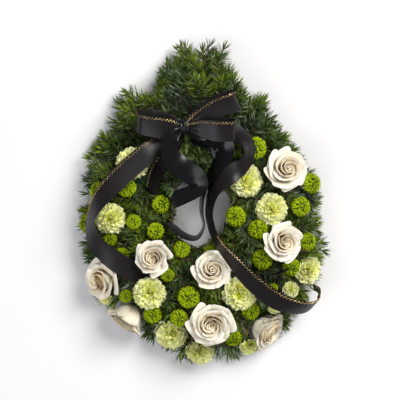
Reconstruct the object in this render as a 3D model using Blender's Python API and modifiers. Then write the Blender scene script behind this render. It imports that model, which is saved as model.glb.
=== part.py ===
"""A teardrop funeral wreath lying on its back: fir sprays, white roses, pale green carnations,
green button chrysanthemums and a black ribbon bow, all pushed into a ring of floral foam."""

import math
import random

import bmesh
import bpy
from mathutils import Matrix, Vector
from mathutils.bvhtree import BVHTree

# Every size and place below is in millimetres, seen from above: x to the right, y to the wreath's
# tip, z up from the table. The origin is under the middle of the whole wreath.
MM = 0.001
SEED = 11
SEAT_GAP = 0.3

# An egg outline is its centre x and y, half its width, half its length, and how much it narrows to the tip.
FOAM_OUTER = (0, -20, 150, 196, 0.13)
FOAM_HOLE = (2, -14, 67, 83, 0.05)
HOLE_KEPT_CLEAR = (2, -14, 55, 70, 0.05)
RING_SEGMENTS = 18

TRAY_FLOOR = 3
TRAY_RIM = 14
TRAY_WALL = 3
FOAM_TOP = 52
FOAM_CHAMFER = 10
STEM_DEPTH = 20
STEM_BEND = 5
LONGEST_STRAIGHT_STEM = 60
STEM_TARGET_HEIGHT = 34
STEM_LOWEST = 14
HOLE_SIDES = 5
HOLE_PLAY = 0.75

# Foliage reaches this far from REACH_CENTRE. Each bump is a direction in degrees, a width and a height.
REACH_CENTRE = (0, -60)
SIDE_REACH = 227
REACH_BUMPS = ((93, 14, 87), (105, 42, 48), (130, 18, 25), (72, 8, 14), (270, 60, 8))

# Roses: x, y, z of the middle of the outer rim, radius, tilt from upright, direction of the tilt, spin.
ROSES = (
    (147, 58, 92, 39, 12, 30, 10),
    (142, -72, 100, 36, 16, 0, 40),
    (-93, -100, 100, 34, 6, 200, 25),
    (14, -121, 100, 36, 10, 60, 70),
    (-188, -143, 58, 35, 40, 195, 0),
    (-139, -212, 42, 33, 80, 235, 50),
    (12, -219, 100, 42, 9, 260, 15),
    (113, -234, 48, 34, 61, 325, 20),
)
ROSE_SEGMENTS = 16
ROSE_HEIGHT = 1.12
ROSE_BASE = 6.5
ROSE_STEM_RADIUS = 2.8
# Each layer of petals: rim radius and rim height as shares of the head's, petals, slip, notch, turn.
ROSE_LAYERS = (
    (1.00, 0.70, 5, 0.12, 0.12, 0.0),
    (0.80, 0.88, 5, 0.12, 0.08, 0.5),
    (0.60, 0.97, 4, 0.12, 0.06, 0.2),
    (0.41, 1.00, 3, 0.12, 0.05, 0.7),
    (0.22, 0.98, 2, 0.10, 0.02, 0.4),
)

# Carnations: x, y, z of the middle of the head, radius, tilt, direction of the tilt, spin.
CARNATIONS = (
    (-130, 70, 84, 30, 10, 150, 0),
    (-171, -31, 74, 29, 14, 190, 20),
    (74, 38, 86, 31, 8, 20, 5),
    (122, -13, 86, 29, 10, 0, 30),
    (-100, -166, 84, 30, 12, 250, 10),
    (64, -166, 84, 31, 12, 300, 0),
    (-62, -247, 48, 31, 48, 252, 15),
    (-8, -281, 40, 27, 60, 268, 5),
    (194, -127, 52, 27, 52, 340, 25),
    (157, -160, 66, 16, 20, 320, 0),
    (-184, -178, 28, 16, 60, 215, 0),
    (84, -268, 32, 20, 66, 290, 10),
    (128, -192, 62, 13, 24, 310, 0),
)
CARNATION_SEGMENTS = 10
SMALL_CARNATION_SEGMENTS = 8
CARNATION_STEM_RADIUS = 2.3
CALYX_LENGTH = 17
CALYX_RADIUS = 5.5
CARNATION_HEIGHT = 0.3
# Each ring of the ruffled head: radius, height and ruffle as shares of the head's radius.
CARNATION_RINGS = (
    (1.00, 0.16, 0.06),
    (0.83, 0.46, -0.07),
    (0.53, 0.44, 0.00),
    (0.55, 0.66, 0.08),
    (0.27, 0.56, 0.00),
    (0.24, 0.74, -0.06),
)
CARNATION_DIMPLE = 0.64

# Button chrysanthemums grow several heads to a stem. Each spray: the fork, the stem's end in the foam,
# and its heads as x, y, z of the middle, radius, tilt and direction of the tilt.
MUM_SPRAYS = (
    ((92, -40, 64), (92, -40, 32), ((56, -27, 84, 18, 8, 180), (95, -50, 84, 17, 8, 200))),
    ((166, -8, 44), (130, -14, 32), ((198, 34, 56, 18, 55, 10), (176, -8, 70, 17, 30, 20))),
    ((90, 98, 64), (88, 96, 30), ((92, 97, 84, 19, 10, 60),)),
    ((160, -104, 46), (126, -92, 32), ((190, -72, 54, 16, 52, 0), (158, -120, 64, 16, 26, 290),
                                       (103, -104, 84, 18, 10, 220))),
    ((98, -190, 48), (82, -164, 28), ((124, -157, 64, 9, 10, 300), (84, -199, 62, 16, 20, 300),
                                      (52, -250, 54, 16, 48, 275))),
    ((-34, -190, 56), (-30, -184, 28), ((-28, -172, 84, 19, 8, 270), (-46, -212, 72, 16, 30, 250))),
    ((-40, -110, 60), (-42, -114, 30), ((-40, -84, 76, 15, 20, 60), (-66, -132, 74, 13, 20, 300),
                                        (10, -88, 66, 11, 20, 80))),
    ((-151, 18, 60), (-120, 14, 32), ((-141, 26, 74, 17, 12, 180), (-196, 20, 52, 16, 45, 170))),
    ((-105, -36, 62), (-104, -38, 32), ((-127, -36, 77, 13, 5, 0), (-76, -6, 74, 16, 42, 325),
                                         (-86, -54, 76, 15, 30, 330))),
    ((-166, -88, 50), (-130, -76, 32), ((-216, -40, 40, 18, 60, 180), (-171, -68, 64, 12, 10, 200),
                                         (-150, -98, 66, 14, 15, 210))),
    ((-96, -186, 46), (-82, -164, 30), ((-94, -206, 62, 16, 24, 262), (-143, -172, 58, 12, 20, 230))),
)
MUM_SEGMENTS = 6
MUM_STEM_RADIUS = 1.9
MUM_FOOT_RADIUS = 0.9
MUM_PETAL = 0.18
# Each ring of the button: radius and height as shares of the head's radius.
MUM_RINGS = ((0.2, 0.0), (0.95, 0.16), (0.93, 0.56), (0.5, 0.86))
MUM_TOP = 0.9
MUM_MIDDLE = 0.45

# Ribbons: 38 mm wide satin. Each point of a path is x, y, z, the roll about the path in degrees
# (0 lies flat, 90 stands on its edge), and the width as a share of the full width.
RIBBON_WIDTH = 38
RIBBON_THICKNESS = 0.8
KNOT = (-36, 134, 108)
KNOT_RADII = (11, 9, 9)
BOW_LOOPS = (
    ((-42, 135, 106, 0, 0.3), (-62, 137, 101, 5, 0.8), (-92, 141, 98, 5, 1), (-113, 143, 104, 5, 1),
     (-118, 142, 113, 5, 1), (-108, 139, 121, 5, 1), (-82, 136, 124, 0, 1), (-58, 135, 119, 0, 0.8),
     (-42, 134, 112, 0, 0.3)),
    ((-31, 137, 106, 0, 0.3), (-14, 148, 100, 0, 0.7), (14, 164, 99, 0, 0.9), (46, 178, 104, 0, 1),
     (57, 180, 112, 0, 1), (46, 177, 120, 0, 1), (16, 167, 119, 0, 0.9), (-12, 149, 114, 0, 0.7),
     (-31, 137, 111, 0, 0.3)),
    ((-29, 134, 106, 0, 0.3), (-8, 133, 108, 0, 0.8), (22, 131, 110, 0, 0.95), (44, 131, 113, 0, 0.95),
     (54, 131, 122, 0, 0.95), (46, 131, 131, 0, 1), (22, 132, 134, 0, 1), (-6, 134, 124, 0, 0.8),
     (-29, 134, 113, 0, 0.3)),
)
BOW_TAIL = ((-38, 130, 104, 0, 0.3), (-46, 112, 80, 20, 0.5), (-70, 82, 70, 30, 0.8),
            (-88, 50, 69, 40, 0.9), (-97, 16, 68, 45, 0.9))
RIBBONS = {
    "ribbon_curl_left": (
        (-44, 122, 116, -10, 0.25), (-54, 111, 126, -35, 0.8), (-61, 92, 128, -40, 1),
        (-54, 73, 120, -20, 1), (-36, 57, 111, 0, 1), (-18, 44, 106, 10, 1), (-10, 30, 104, 20, 0.9),
        (-20, 18, 99, 30, 0.8), (-38, 10, 92, 20, 0.8), (-58, 2, 86, 10, 0.8),
    ),
    "ribbon_curl_right": (
        (-26, 121, 103, 0, 0.25), (2, 114, 100, 5, 0.6), (30, 106, 94, 20, 0.8), (39, 92, 91, 30, 0.9),
        (27, 66, 84, 35, 0.9), (8, 40, 79, 62, 0.85), (-4, 13, 78, 74, 0.9), (-6, -18, 74, 76, 0.8),
        (-2, -44, 72, 82, 0.8), (-14, -64, 72, 86, 0.8), (-35, -61, 72, 86, 0.8), (-54, -46, 72, 86, 0.8),
        (-66, -32, 70, 84, 0.7),
    ),
    "ribbon_tail_left": (
        (-46, 123, 98, 0, 0.25), (-74, 106, 93, 0, 0.8), (-104, 84, 103, 0, 1), (-150, 44, 106, 5, 1),
        (-186, 6, 98, 35, 1), (-205, -34, 88, 62, 1), (-196, -72, 90, 40, 1), (-160, -106, 88, 15, 1),
        (-126, -124, 76, 0, 0.9), (-100, -134, 64, 0, 0.7),
    ),
    "ribbon_tail_inner": (
        (-26, 124, 94, 0, 0.25), (-14, 110, 82, 0, 0.5), (14, 106, 76, 0, 0.6), (28, 80, 73, 0, 0.7),
        (20, 36, 71, 40, 0.7), (8, 2, 71, 66, 0.75), (8, -30, 72, 70, 0.75), (18, -62, 82, 76, 0.7),
        (38, -88, 90, 82, 0.6), (60, -110, 94, 84, 0.6), (92, -127, 94, 84, 0.6),
        (124, -130, 92, 84, 0.5), (150, -121, 88, 84, 0.4),
    ),
    "ribbon_tail_right": (
        (-28, 134, 96, 0, 0.25), (-10, 138, 88, 0, 0.6), (16, 139, 88, 0, 0.8), (58, 122, 87, -8, 1),
        (80, 97, 105, -38, 1), (73, 68, 113, -35, 0.9), (44, 46, 116, 15, 1), (20, 22, 111, 60, 1),
        (8, -10, 108, 68, 1),
        (10, -40, 109, 70, 1), (24, -74, 115, 66, 1), (56, -112, 124, 48, 1), (88, -146, 117, 35, 1),
        (132, -178, 104, 30, 1), (176, -190, 92, 50, 1), (202, -180, 82, 80, 1), (206, -162, 74, 100, 0.9),
        (196, -152, 66, 110, 0.7),
    ),
}
PICK_RADIUS = 1.5
PICK_DEPTH = 30

# Fir: a spray is a bare branch laid along a wall of the foam, with twigs that carry the needles.
BRANCH_RADIUS = 2.6
BRANCH_OFFSET = 7
BRANCH_HEIGHT = 18.5
TWIG_RADIUS = 1.9
NEEDLE_LENGTH = 21
NEEDLE_LEAN = 52
WHORL_SPACING = 16
WHORL_WIDTH = 4
CLEARANCE = 1.2
# Outer sprays: first and last direction in degrees round the foam, twigs lying out, twigs standing up.
OUTER_SPRAYS = ((112, 158, 4, 2), (166, 222, 4, 1), (230, 282, 4, 0),
                (290, 338, 4, 0), (346, 394, 4, 1), (400, 432, 3, 2))
BARE_SHARE = 0.4
CROWN_SPRAYS = ((-32, 98, 5), (20, 84, 4))
# Top sprays stand in the foam's top between the flowers: x, y and how many twigs spread from each.
TOP_SPRAYS = ((-108, 58, 5), (-64, -158, 6), (64, -122, 5), (116, 66, 5))
TOP_SPRAY_HEIGHT = 64
TOP_TWIG_LENGTH = 62

COLOURS = {
    "tray": (0.02, 0.03, 0.02), "foam": (0.03, 0.09, 0.03), "fir": (0.03, 0.09, 0.02),
    "rose_petal": (0.82, 0.76, 0.66), "rose_stem": (0.10, 0.20, 0.04),
    "carnation": (0.66, 0.74, 0.32), "mum": (0.26, 0.45, 0.03),
    "ribbon": (0.012, 0.010, 0.013),
}
ROUGHNESS = {"ribbon": 0.35, "rose_petal": 0.55}
SMOOTH_BELOW = 40


def start_afresh():
    """An empty scene with one collection for the wreath and one for its cutters."""
    for thing in list(bpy.data.objects):
        bpy.data.objects.remove(thing)
    made = []
    for name in ("funeral_wreath", "cutters"):
        collection = bpy.data.collections.new(name)
        bpy.context.scene.collection.children.link(collection)
        made.append(collection)
    made[1].hide_render = True
    return made


WREATH, CUTTERS = start_afresh()


def material(slot):
    """The material of a slot, made once."""
    if slot not in bpy.data.materials:
        made = bpy.data.materials.new(slot)
        made.use_nodes = True
        shader = made.node_tree.nodes["Principled BSDF"]
        shader.inputs["Base Color"].default_value = (*COLOURS[slot], 1)
        shader.inputs["Roughness"].default_value = ROUGHNESS.get(slot, 0.7)
    return bpy.data.materials[slot]


def add_object(name, points, faces, slot, collection=WREATH):
    """A mesh object from points in millimetres and faces that list them."""
    mesh = bpy.data.meshes.new(name)
    mesh.from_pydata([Vector(p) * MM for p in points], [], faces)
    mesh.shade_smooth()
    mesh.set_sharp_from_angle(angle=math.radians(SMOOTH_BELOW))
    mesh.materials.append(material(slot))
    made = bpy.data.objects.new(name, mesh)
    collection.objects.link(made)
    return made


def evaluated_mesh(thing):
    """The object's mesh with its modifiers applied, in its own space."""
    bpy.context.view_layer.update()
    graph = bpy.context.evaluated_depsgraph_get()
    return bpy.data.meshes.new_from_object(thing.evaluated_get(graph))


def apply_modifiers(thing):
    """Replaces the object's mesh with its evaluated one."""
    mesh = evaluated_mesh(thing)
    thing.modifiers.clear()
    thing.data = mesh


def tidy_union(mesh):
    """Takes out the loose scraps and the extra corners in flat faces that a union leaves."""
    bm = bmesh.new()
    bm.from_mesh(mesh)
    islands, left = [], set(bm.verts)
    while left:
        island, front = set(), [left.pop()]
        while front:
            corner = front.pop()
            island.add(corner)
            beside = {edge.other_vert(corner) for edge in corner.link_edges} & left
            left -= beside
            front += beside
        islands.append(island)
    islands.sort(key=len)
    bmesh.ops.delete(bm, geom=[corner for island in islands[:-1] for corner in island], context="VERTS")
    bmesh.ops.dissolve_limit(bm, angle_limit=math.radians(0.3), verts=bm.verts, edges=bm.edges)
    bm.to_mesh(mesh)
    bm.free()


def fuse(name, pieces, slot):
    """Joins overlapping objects in one closed body and removes them."""
    body = pieces[0]
    if len(pieces) > 1:
        repeats = bpy.data.collections.new(name + "_repeats")
        CUTTERS.children.link(repeats)
        for piece in pieces[1:]:
            repeats.objects.link(piece)
            WREATH.objects.unlink(piece)
        union = body.modifiers.new("join", "BOOLEAN")
        union.operation = "UNION"
        union.operand_type = "COLLECTION"
        union.collection = repeats
        union.solver = "MANIFOLD"
        apply_modifiers(body)
        for piece in pieces[1:]:
            bpy.data.objects.remove(piece)
        bpy.data.collections.remove(repeats)
        tidy_union(body.data)
    body.name = name
    body.data.materials.clear()
    body.data.materials.append(material(slot))
    return body


def egg(angle, outline, grow=0):
    """The point of an egg outline in a direction, in radians, grown by some millimetres."""
    x, y, half_width, half_length, taper = outline
    across = (half_width + grow) * math.cos(angle) * (1 - taper * math.sin(angle))
    return Vector((x + across, y + (half_length + grow) * math.sin(angle), 0))


def egg_normal(angle, outline):
    """The outward direction of an egg outline."""
    along = egg(angle + 0.01, outline) - egg(angle - 0.01, outline)
    return Vector((along.y, -along.x, 0)).normalized()


def egg_ring(name, section, slot):
    """A ring whose cross-section lists an egg outline, its growth and its height at each corner."""
    points = []
    for step in range(RING_SEGMENTS):
        angle = 2 * math.pi * step / RING_SEGMENTS
        for outline, grow, height in section:
            points.append(egg(angle, outline, grow) + Vector((0, 0, height)))
    corners = len(section)
    faces = []
    for step in range(RING_SEGMENTS):
        after = (step + 1) % RING_SEGMENTS
        for corner in range(corners):
            beside = (corner + 1) % corners
            faces.append((step * corners + corner, after * corners + corner,
                          after * corners + beside, step * corners + beside))
    return add_object(name, points, faces, slot)


def make_tray():
    """The moulded tray: a flat floor with a rim round the outside and round the hole."""
    wall, rim, floor = TRAY_WALL, TRAY_RIM, TRAY_FLOOR
    play = SEAT_GAP + 0.1
    return egg_ring("base_tray", (
        (FOAM_OUTER, wall + play, 0), (FOAM_OUTER, wall + play, rim), (FOAM_OUTER, play, rim),
        (FOAM_OUTER, play, floor), (FOAM_HOLE, -play, floor), (FOAM_HOLE, -play, rim),
        (FOAM_HOLE, -wall - play, rim), (FOAM_HOLE, -wall - play, 0),
    ), "tray")


def make_foam():
    """The floral foam, seated in the tray, with its top edges cut back."""
    low, shoulder, cut = TRAY_FLOOR + SEAT_GAP, FOAM_TOP - FOAM_CHAMFER, FOAM_CHAMFER
    return egg_ring("foam_ring", (
        (FOAM_OUTER, 0, low), (FOAM_OUTER, 0, shoulder), (FOAM_OUTER, -cut, FOAM_TOP),
        (FOAM_HOLE, cut, FOAM_TOP), (FOAM_HOLE, 0, shoulder), (FOAM_HOLE, 0, low),
    ), "foam")


def facing(x, y, z, tilt, towards, spin=0):
    """The placement, in millimetres, of a head whose own +Z leans by tilt in the direction towards."""
    turn = Matrix.Rotation(math.radians(towards), 4, "Z")
    lean = Matrix.Rotation(math.radians(tilt), 4, "Y")
    about = Matrix.Rotation(math.radians(spin), 4, "Z")
    return Matrix.Translation((x, y, z)) @ turn @ lean @ turn.inverted() @ about


def closed_rings(rings, bottom, top):
    """Points and faces of a closed body through rings of equal length, from a bottom to a top point."""
    count = len(rings[0])
    points = [point for ring in rings for point in ring] + [bottom, top]
    faces = []
    for level in range(len(rings) - 1):
        for step in range(count):
            after = (step + 1) % count
            low, high = level * count, (level + 1) * count
            faces.append((low + step, low + after, high + after, high + step))
    last = (len(rings) - 1) * count
    for step in range(count):
        after = (step + 1) % count
        faces.append((after, step, len(points) - 2))
        faces.append((last + step, last + after, len(points) - 1))
    return points, faces


def ring_of(count, radius_at, height_at, turn=0.0):
    """A ring of points whose radius and height are functions of the direction."""
    ring = []
    for step in range(count):
        angle = 2 * math.pi * (step + turn) / count
        radius = radius_at(angle)
        ring.append(Vector((radius * math.cos(angle), radius * math.sin(angle), height_at(angle))))
    return ring


def rim_of_layer(layer, radius, height):
    """Two functions of the direction: the radius and the height of one layer's petal edge."""
    share, level, petals, slip, notch, turn = layer

    def across(angle):
        return (angle / (2 * math.pi) * petals + turn) % 1

    def radius_at(angle):
        u = across(angle)
        return radius * share * (1 + slip * (u - 0.5) - notch * abs(2 * u - 1) ** 1.5)

    def height_at(angle):
        u = across(angle)
        return height * (level - 0.6 * notch * abs(2 * u - 1))

    return radius_at, height_at


def rose_rings(radius):
    """The rings of a rose head from its seat on the stem, over each layer of petals, to the heart."""
    height = radius * ROSE_HEIGHT
    count = ROSE_SEGMENTS
    rims = [rim_of_layer(layer, radius, height) for layer in ROSE_LAYERS]
    outer = rims[0][0]
    rings = [
        ring_of(count, lambda a: ROSE_BASE, lambda a: 0),
        ring_of(count, lambda a: 0.64 * outer(a), lambda a: 0.2 * height),
        ring_of(count, lambda a: 0.86 * outer(a), lambda a: 0.5 * height),
    ]
    for number, (radius_at, height_at) in enumerate(rims):
        rings.append(ring_of(count, radius_at, height_at))
        if number + 1 < len(rims):
            inner = rims[number + 1]
            rings.append(ring_of(
                count,
                lambda a, r=radius_at, i=inner: 0.3 * r(a) + 0.7 * i[0](a),
                lambda a, h=height_at, i=inner: min(h(a), i[1](a)) - 0.2 * height,
            ))
    return rings, height


def foam_entry(foam, start, direction):
    """Where a ray meets the foam, in millimetres."""
    hit = foam.ray_cast(start * MM, direction)[0]
    if hit is None or hit.z < STEM_LOWEST * MM:
        raise ValueError(f"the stem from {tuple(start)} misses the foam")
    return hit / MM


def cut_hole(start, end, radius):
    """A cutter for a plain hole in the foam, from outside it to just past a stem's end."""
    along = (end - start).normalized()
    length = (end - start).length + 2 * SEAT_GAP
    centre = start + along * length / 2
    bm = bmesh.new()
    turn = along.to_track_quat("Z", "Y").to_matrix().to_4x4()
    wide = (radius + HOLE_PLAY) / math.cos(math.pi / HOLE_SIDES)
    bmesh.ops.create_cone(
        bm, cap_ends=True, segments=HOLE_SIDES, radius1=wide * MM, radius2=wide * MM, depth=length * MM,
        matrix=Matrix.Translation(centre * MM) @ turn,
    )
    mesh = bpy.data.meshes.new("hole")
    bm.to_mesh(mesh)
    bm.free()
    cutter = bpy.data.objects.new("hole", mesh)
    cutter.hide_render = True
    cutter.display_type = "WIRE"
    CUTTERS.objects.link(cutter)


def foam_middle(point):
    """The point in the middle of the foam's thickness that is nearest in direction to a point."""
    angle = math.atan2(point.y - FOAM_OUTER[1], point.x - FOAM_OUTER[0])
    return (egg(angle, FOAM_OUTER) + egg(angle, FOAM_HOLE)) / 2 + Vector((0, 0, STEM_TARGET_HEIGHT))


def stem_path(place, base, foam):
    """The way of a stem from its end in the foam up to a head's base, and that end's entry.

    It runs straight down the head's axis, or else bends towards the foam just under the head."""
    start = place @ Vector((0, 0, base))
    down = (place.to_3x3() @ Vector((0, 0, -1))).normalized()
    hit = foam.ray_cast(start * MM, down)[0]
    if hit is not None:
        entry, end = hit / MM, hit / MM + down * STEM_DEPTH
        if end.z > STEM_LOWEST and (entry - start).length < LONGEST_STRAIGHT_STEM:
            return [end, start], entry, down
    bend = start + down * STEM_BEND
    way = (foam_middle(bend) - bend).normalized()
    entry = foam_entry(foam, bend, way)
    return [entry + way * STEM_DEPTH, bend, start], entry, way


def rings_along(path, radii, count, square):
    """Rings of points round a path, which lies in the plane that the vector square is normal to."""
    rings = []
    for i, (centre, radius) in enumerate(zip(path, radii)):
        along = (path[min(i + 1, len(path) - 1)] - path[max(i - 1, 0)]).normalized()
        out = along.cross(square).normalized()
        angles = [2 * math.pi * step / count for step in range(count)]
        rings.append([centre + (square * math.cos(a) + out * math.sin(a)) * radius for a in angles])
    return rings


def square_to_bend(place, way):
    """A head's placement turned about its axis until its X is normal to its stem's bend."""
    axis = (place.to_3x3() @ Vector((0, 0, 1))).normalized()
    square = way.cross(axis)
    if square.length < 0.02:
        return place, (place.to_3x3() @ Vector((1, 0, 0))).normalized()
    square.normalize()
    turned = Matrix((square, axis.cross(square), axis)).transposed().to_4x4()
    turned.translation = place.translation
    return turned, square


def make_rose(number, row, foam):
    """One rose in two bodies: the petals, and the stem with its calyx and five sepals."""
    x, y, z, radius, tilt, towards, spin = row
    rings, height = rose_rings(radius)
    rim = ROSE_LAYERS[0][1] * height
    place = facing(x, y, z, tilt, towards, spin) @ Matrix.Translation((0, 0, -rim))
    points, faces = closed_rings(rings, Vector((0, 0, 0)), Vector((0, 0, 0.9 * height)))
    add_object(f"rose_{number}_petals", [place @ p for p in points], faces, "rose_petal")
    thin = ROSE_STEM_RADIUS
    path, entry, way = stem_path(place, -12, foam)
    place, square = square_to_bend(place, way)
    rings = rings_along(path, [thin] * len(path), 5, square)
    for wide, level in ((6.8, -5), (6.2, -SEAT_GAP)):
        rings.append([place @ p for p in ring_of(5, lambda a, w=wide: w, lambda a, h=level: h)])
    points, faces = closed_rings(rings, path[0], place @ Vector((0, 0, -SEAT_GAP)))
    faces = draw_out_sepals(points, faces, place, radius)
    add_object(f"rose_{number}_stem", points, faces, "rose_stem")
    cut_hole(entry - way * 4, path[0], thin)


def draw_out_sepals(points, faces, place, radius):
    """Draws each side of the calyx out into a sepal that bends back under the petals."""
    kept = []
    back = place.inverted()
    for face in faces:
        middle = back @ (sum((points[i] for i in face), Vector()) / len(face))
        if len(face) == 4 and -10 < middle.z < -5.5:
            tip = Vector((middle.x, middle.y, 0)).normalized() * radius * 0.55
            points.append(place @ (tip + Vector((0, 0, -13))))
            apex = len(points) - 1
            kept.extend((face[i], face[(i + 1) % 4], apex) for i in range(4))
        else:
            kept.append(face)
    return kept


def make_carnation(number, row, foam):
    """One carnation in one body: ruffled head, calyx and stem."""
    x, y, z, radius, tilt, towards, spin = row
    place = facing(x, y, z, tilt, towards, spin) @ Matrix.Translation((0, 0, -CARNATION_HEIGHT * radius))
    count = CARNATION_SEGMENTS if radius > 20 else SMALL_CARNATION_SEGMENTS
    small = min(1, radius / 28)
    calyx = CALYX_LENGTH * small
    thin = CARNATION_STEM_RADIUS * (0.5 + 0.5 * small)
    path, entry, way = stem_path(place, -calyx, foam)
    place, square = square_to_bend(place, way)
    rings = rings_along(path, [thin] * len(path), count, square)
    rings.append([place @ p for p in ring_of(count, lambda a: CALYX_RADIUS * small, lambda a: -2)])
    for share, level, ruffle in CARNATION_RINGS:
        ring = ring_of(count, lambda a, s=share: s * radius, lambda a, h=level: h * radius)
        for step, point in enumerate(ring):
            wave = ruffle * (1 if step % 2 else -1)
            point.xy = point.xy * (1 + wave)
            point.z += wave * radius * 0.8
        rings.append([place @ p for p in ring])
    points, faces = closed_rings(rings, path[0], place @ Vector((0, 0, CARNATION_DIMPLE * radius)))
    add_object(f"carnation_{number}", points, faces, "carnation")
    cut_hole(entry - way * 4, path[0], thin)


def mum_on_stem(radius, place, fork):
    """A button head on its stem: a dome whose every facet is drawn out into a petal tip."""
    count = MUM_SEGMENTS
    rings = [
        [place @ p for p in ring_of(count, lambda a, s=share: s * radius, lambda a, h=level: h * radius)]
        for share, level in MUM_RINGS
    ]
    way = (fork - place.translation).normalized()
    turned, square = square_to_bend(place, way)
    far = fork
    rings.insert(0, rings_along((far, place.translation), [MUM_FOOT_RADIUS] * 2, count, square)[0])
    # The ring at the fork starts at the corner that lines up with the head's first one.
    first = rings[1][0] - place.translation
    nearest = max(range(count), key=lambda i: (rings[0][i] - far).dot(first))
    rings[0] = rings[0][nearest:] + rings[0][:nearest]
    points, faces = closed_rings(rings, far, place @ Vector((0, 0, MUM_TOP * radius)))
    spiked = []
    back = place.inverted()
    for face in faces:
        middle = sum((points[i] for i in face), Vector()) / len(face)
        inside = back @ middle
        if len(face) == 4 and inside.z > 0.2 * radius:
            outward = (middle - place @ Vector((0, 0, 0.2 * radius))).normalized()
            points.append(middle + outward * MUM_PETAL * radius)
            apex = len(points) - 1
            spiked.extend((face[i], face[(i + 1) % 4], apex) for i in range(4))
        else:
            spiked.append(face)
    return add_object("mum", points, spiked, "mum")


def tube(points, radius, slot, sides=6):
    """A round stem through some points, as a closed mesh."""
    curve = bpy.data.curves.new("stem", "CURVE")
    curve.dimensions = "3D"
    curve.bevel_depth = radius * MM
    curve.bevel_resolution = sides // 2 - 2
    curve.use_fill_caps = True
    spline = curve.splines.new("POLY")
    spline.points.add(len(points) - 1)
    for point, place in zip(spline.points, points):
        point.co = (*(Vector(place) * MM), 1)
    drawn = bpy.data.objects.new("stem", curve)
    WREATH.objects.link(drawn)
    mesh = evaluated_mesh(drawn)
    bpy.data.objects.remove(drawn)
    bm = bmesh.new()
    bm.from_mesh(mesh)
    bmesh.ops.remove_doubles(bm, verts=bm.verts, dist=0.00001)
    bmesh.ops.recalc_face_normals(bm, faces=bm.faces)
    bm.to_mesh(mesh)
    bm.free()
    made = bpy.data.objects.new("stem", mesh)
    WREATH.objects.link(made)
    made.data.materials.clear()
    made.data.materials.append(material(slot))
    return made


def make_mum_spray(number, row, foam):
    """One forked stem of button chrysanthemums, in one body."""
    fork, end, heads = row
    fork, end = Vector(fork), Vector(end)
    down = (end - fork).normalized()
    entry = foam_entry(foam, fork, down)
    pieces = [tube((fork - down * 1.5, end), MUM_STEM_RADIUS, "mum")]
    for x, y, z, radius, tilt, towards in heads:
        place = facing(x, y, z, tilt, towards) @ Matrix.Translation((0, 0, -MUM_MIDDLE * radius))
        pieces.append(mum_on_stem(radius, place, fork))
    fuse(f"mum_spray_{number}", pieces, "mum")
    cut_hole(entry - down * 4, end, MUM_STEM_RADIUS)


def smooth_path(rows, per_span):
    """Catmull-Rom through rows of numbers, so that a path runs smoothly through its points."""
    first = [2 * a - b for a, b in zip(rows[0], rows[1])]
    last = [2 * a - b for a, b in zip(rows[-1], rows[-2])]
    padded = [first, *rows, last]
    path = []
    for i in range(1, len(padded) - 2):
        for step in range(per_span):
            t = step / per_span
            path.append([
                0.5 * (2 * b + (c - a) * t + (2 * a - 5 * b + 4 * c - d) * t * t
                       + (3 * b - a - 3 * c + d) * t ** 3)
                for a, b, c, d in zip(*padded[i - 1:i + 3])
            ])
    path.append(list(rows[-1]))
    return path


def start_at_knot(rows, bow):
    """Moves a ribbon's first point to where it comes out of the knot, a seating gap away from it."""
    first, centre = Vector(rows[0][:3]), Vector(KNOT)
    outward = (first - centre).normalized()
    surface = bow.ray_cast(first, -outward)[0]
    start = surface + outward * SEAT_GAP * 1.4
    after = start + outward * 7
    return ((*start, rows[0][3], 0.1), (*after, *rows[0][3:]), *rows[1:])


def ribbon(name, rows, across=None, per_span=2):
    """A ribbon along a path, as a strip with Solidify. Its roll turns it about the path.

    A loop that folds over is given the one level direction that runs across all of it.
    """
    path = smooth_path(rows, per_span)
    centres = [Vector(row[:3]) for row in path]
    points = []
    for i, (centre, row) in enumerate(zip(centres, path)):
        along = (centres[min(i + 1, len(centres) - 1)] - centres[max(i - 1, 0)]).normalized()
        level = across or Vector((-along.y, along.x, 0))
        if i and not across:
            # A steep stretch has no level side of its own, so it keeps the one before it.
            steep = 1 - min(1, level.length * 2)
            level = level + before * steep if steep > 0 else level
            level = level if level.dot(before) > 0 else -level
        level = (level - along * level.dot(along)).normalized()
        before = level
        side = Matrix.Rotation(math.radians(row[3]), 3, along) @ level
        half = RIBBON_WIDTH / 2 * row[4]
        points += [centre - side * half, centre + side * half]
    faces = [(2 * i, 2 * i + 1, 2 * i + 3, 2 * i + 2) for i in range(len(centres) - 1)]
    strip = add_object(name, points, faces, "ribbon")
    thick = strip.modifiers.new("thickness", "SOLIDIFY")
    thick.thickness = RIBBON_THICKNESS * MM
    thick.offset = 0
    thick.use_even_offset = True
    return strip


def make_bow(foam):
    """The knot with its three loops, its short tail and the wire pick that holds it, in one body."""
    bm = bmesh.new()
    scale = Matrix.Diagonal((*KNOT_RADII, 1 / MM)) * MM
    bmesh.ops.create_uvsphere(
        bm, u_segments=8, v_segments=5, radius=1, matrix=Matrix.Translation(Vector(KNOT) * MM) @ scale)
    mesh = bpy.data.meshes.new("knot")
    bm.to_mesh(mesh)
    bm.free()
    knot = bpy.data.objects.new("knot", mesh)
    WREATH.objects.link(knot)
    pieces = [knot]
    pieces.append(ribbon("tail", BOW_TAIL))
    for rows in BOW_LOOPS:
        run = Vector(rows[len(rows) // 2][:3]) - Vector(rows[0][:3])
        pieces.append(ribbon("loop", rows, Vector((-run.y, run.x, 0)).normalized()))
    for strip in pieces[1:]:
        apply_modifiers(strip)
    down = Vector((0, 0, -1))
    entry = foam_entry(foam, Vector(KNOT), down)
    end = entry + down * PICK_DEPTH
    pieces.append(tube((KNOT, end), PICK_RADIUS, "ribbon"))
    cut_hole(entry - down * 4, end, PICK_RADIUS)
    return fuse("bow", pieces, "ribbon")


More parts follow.
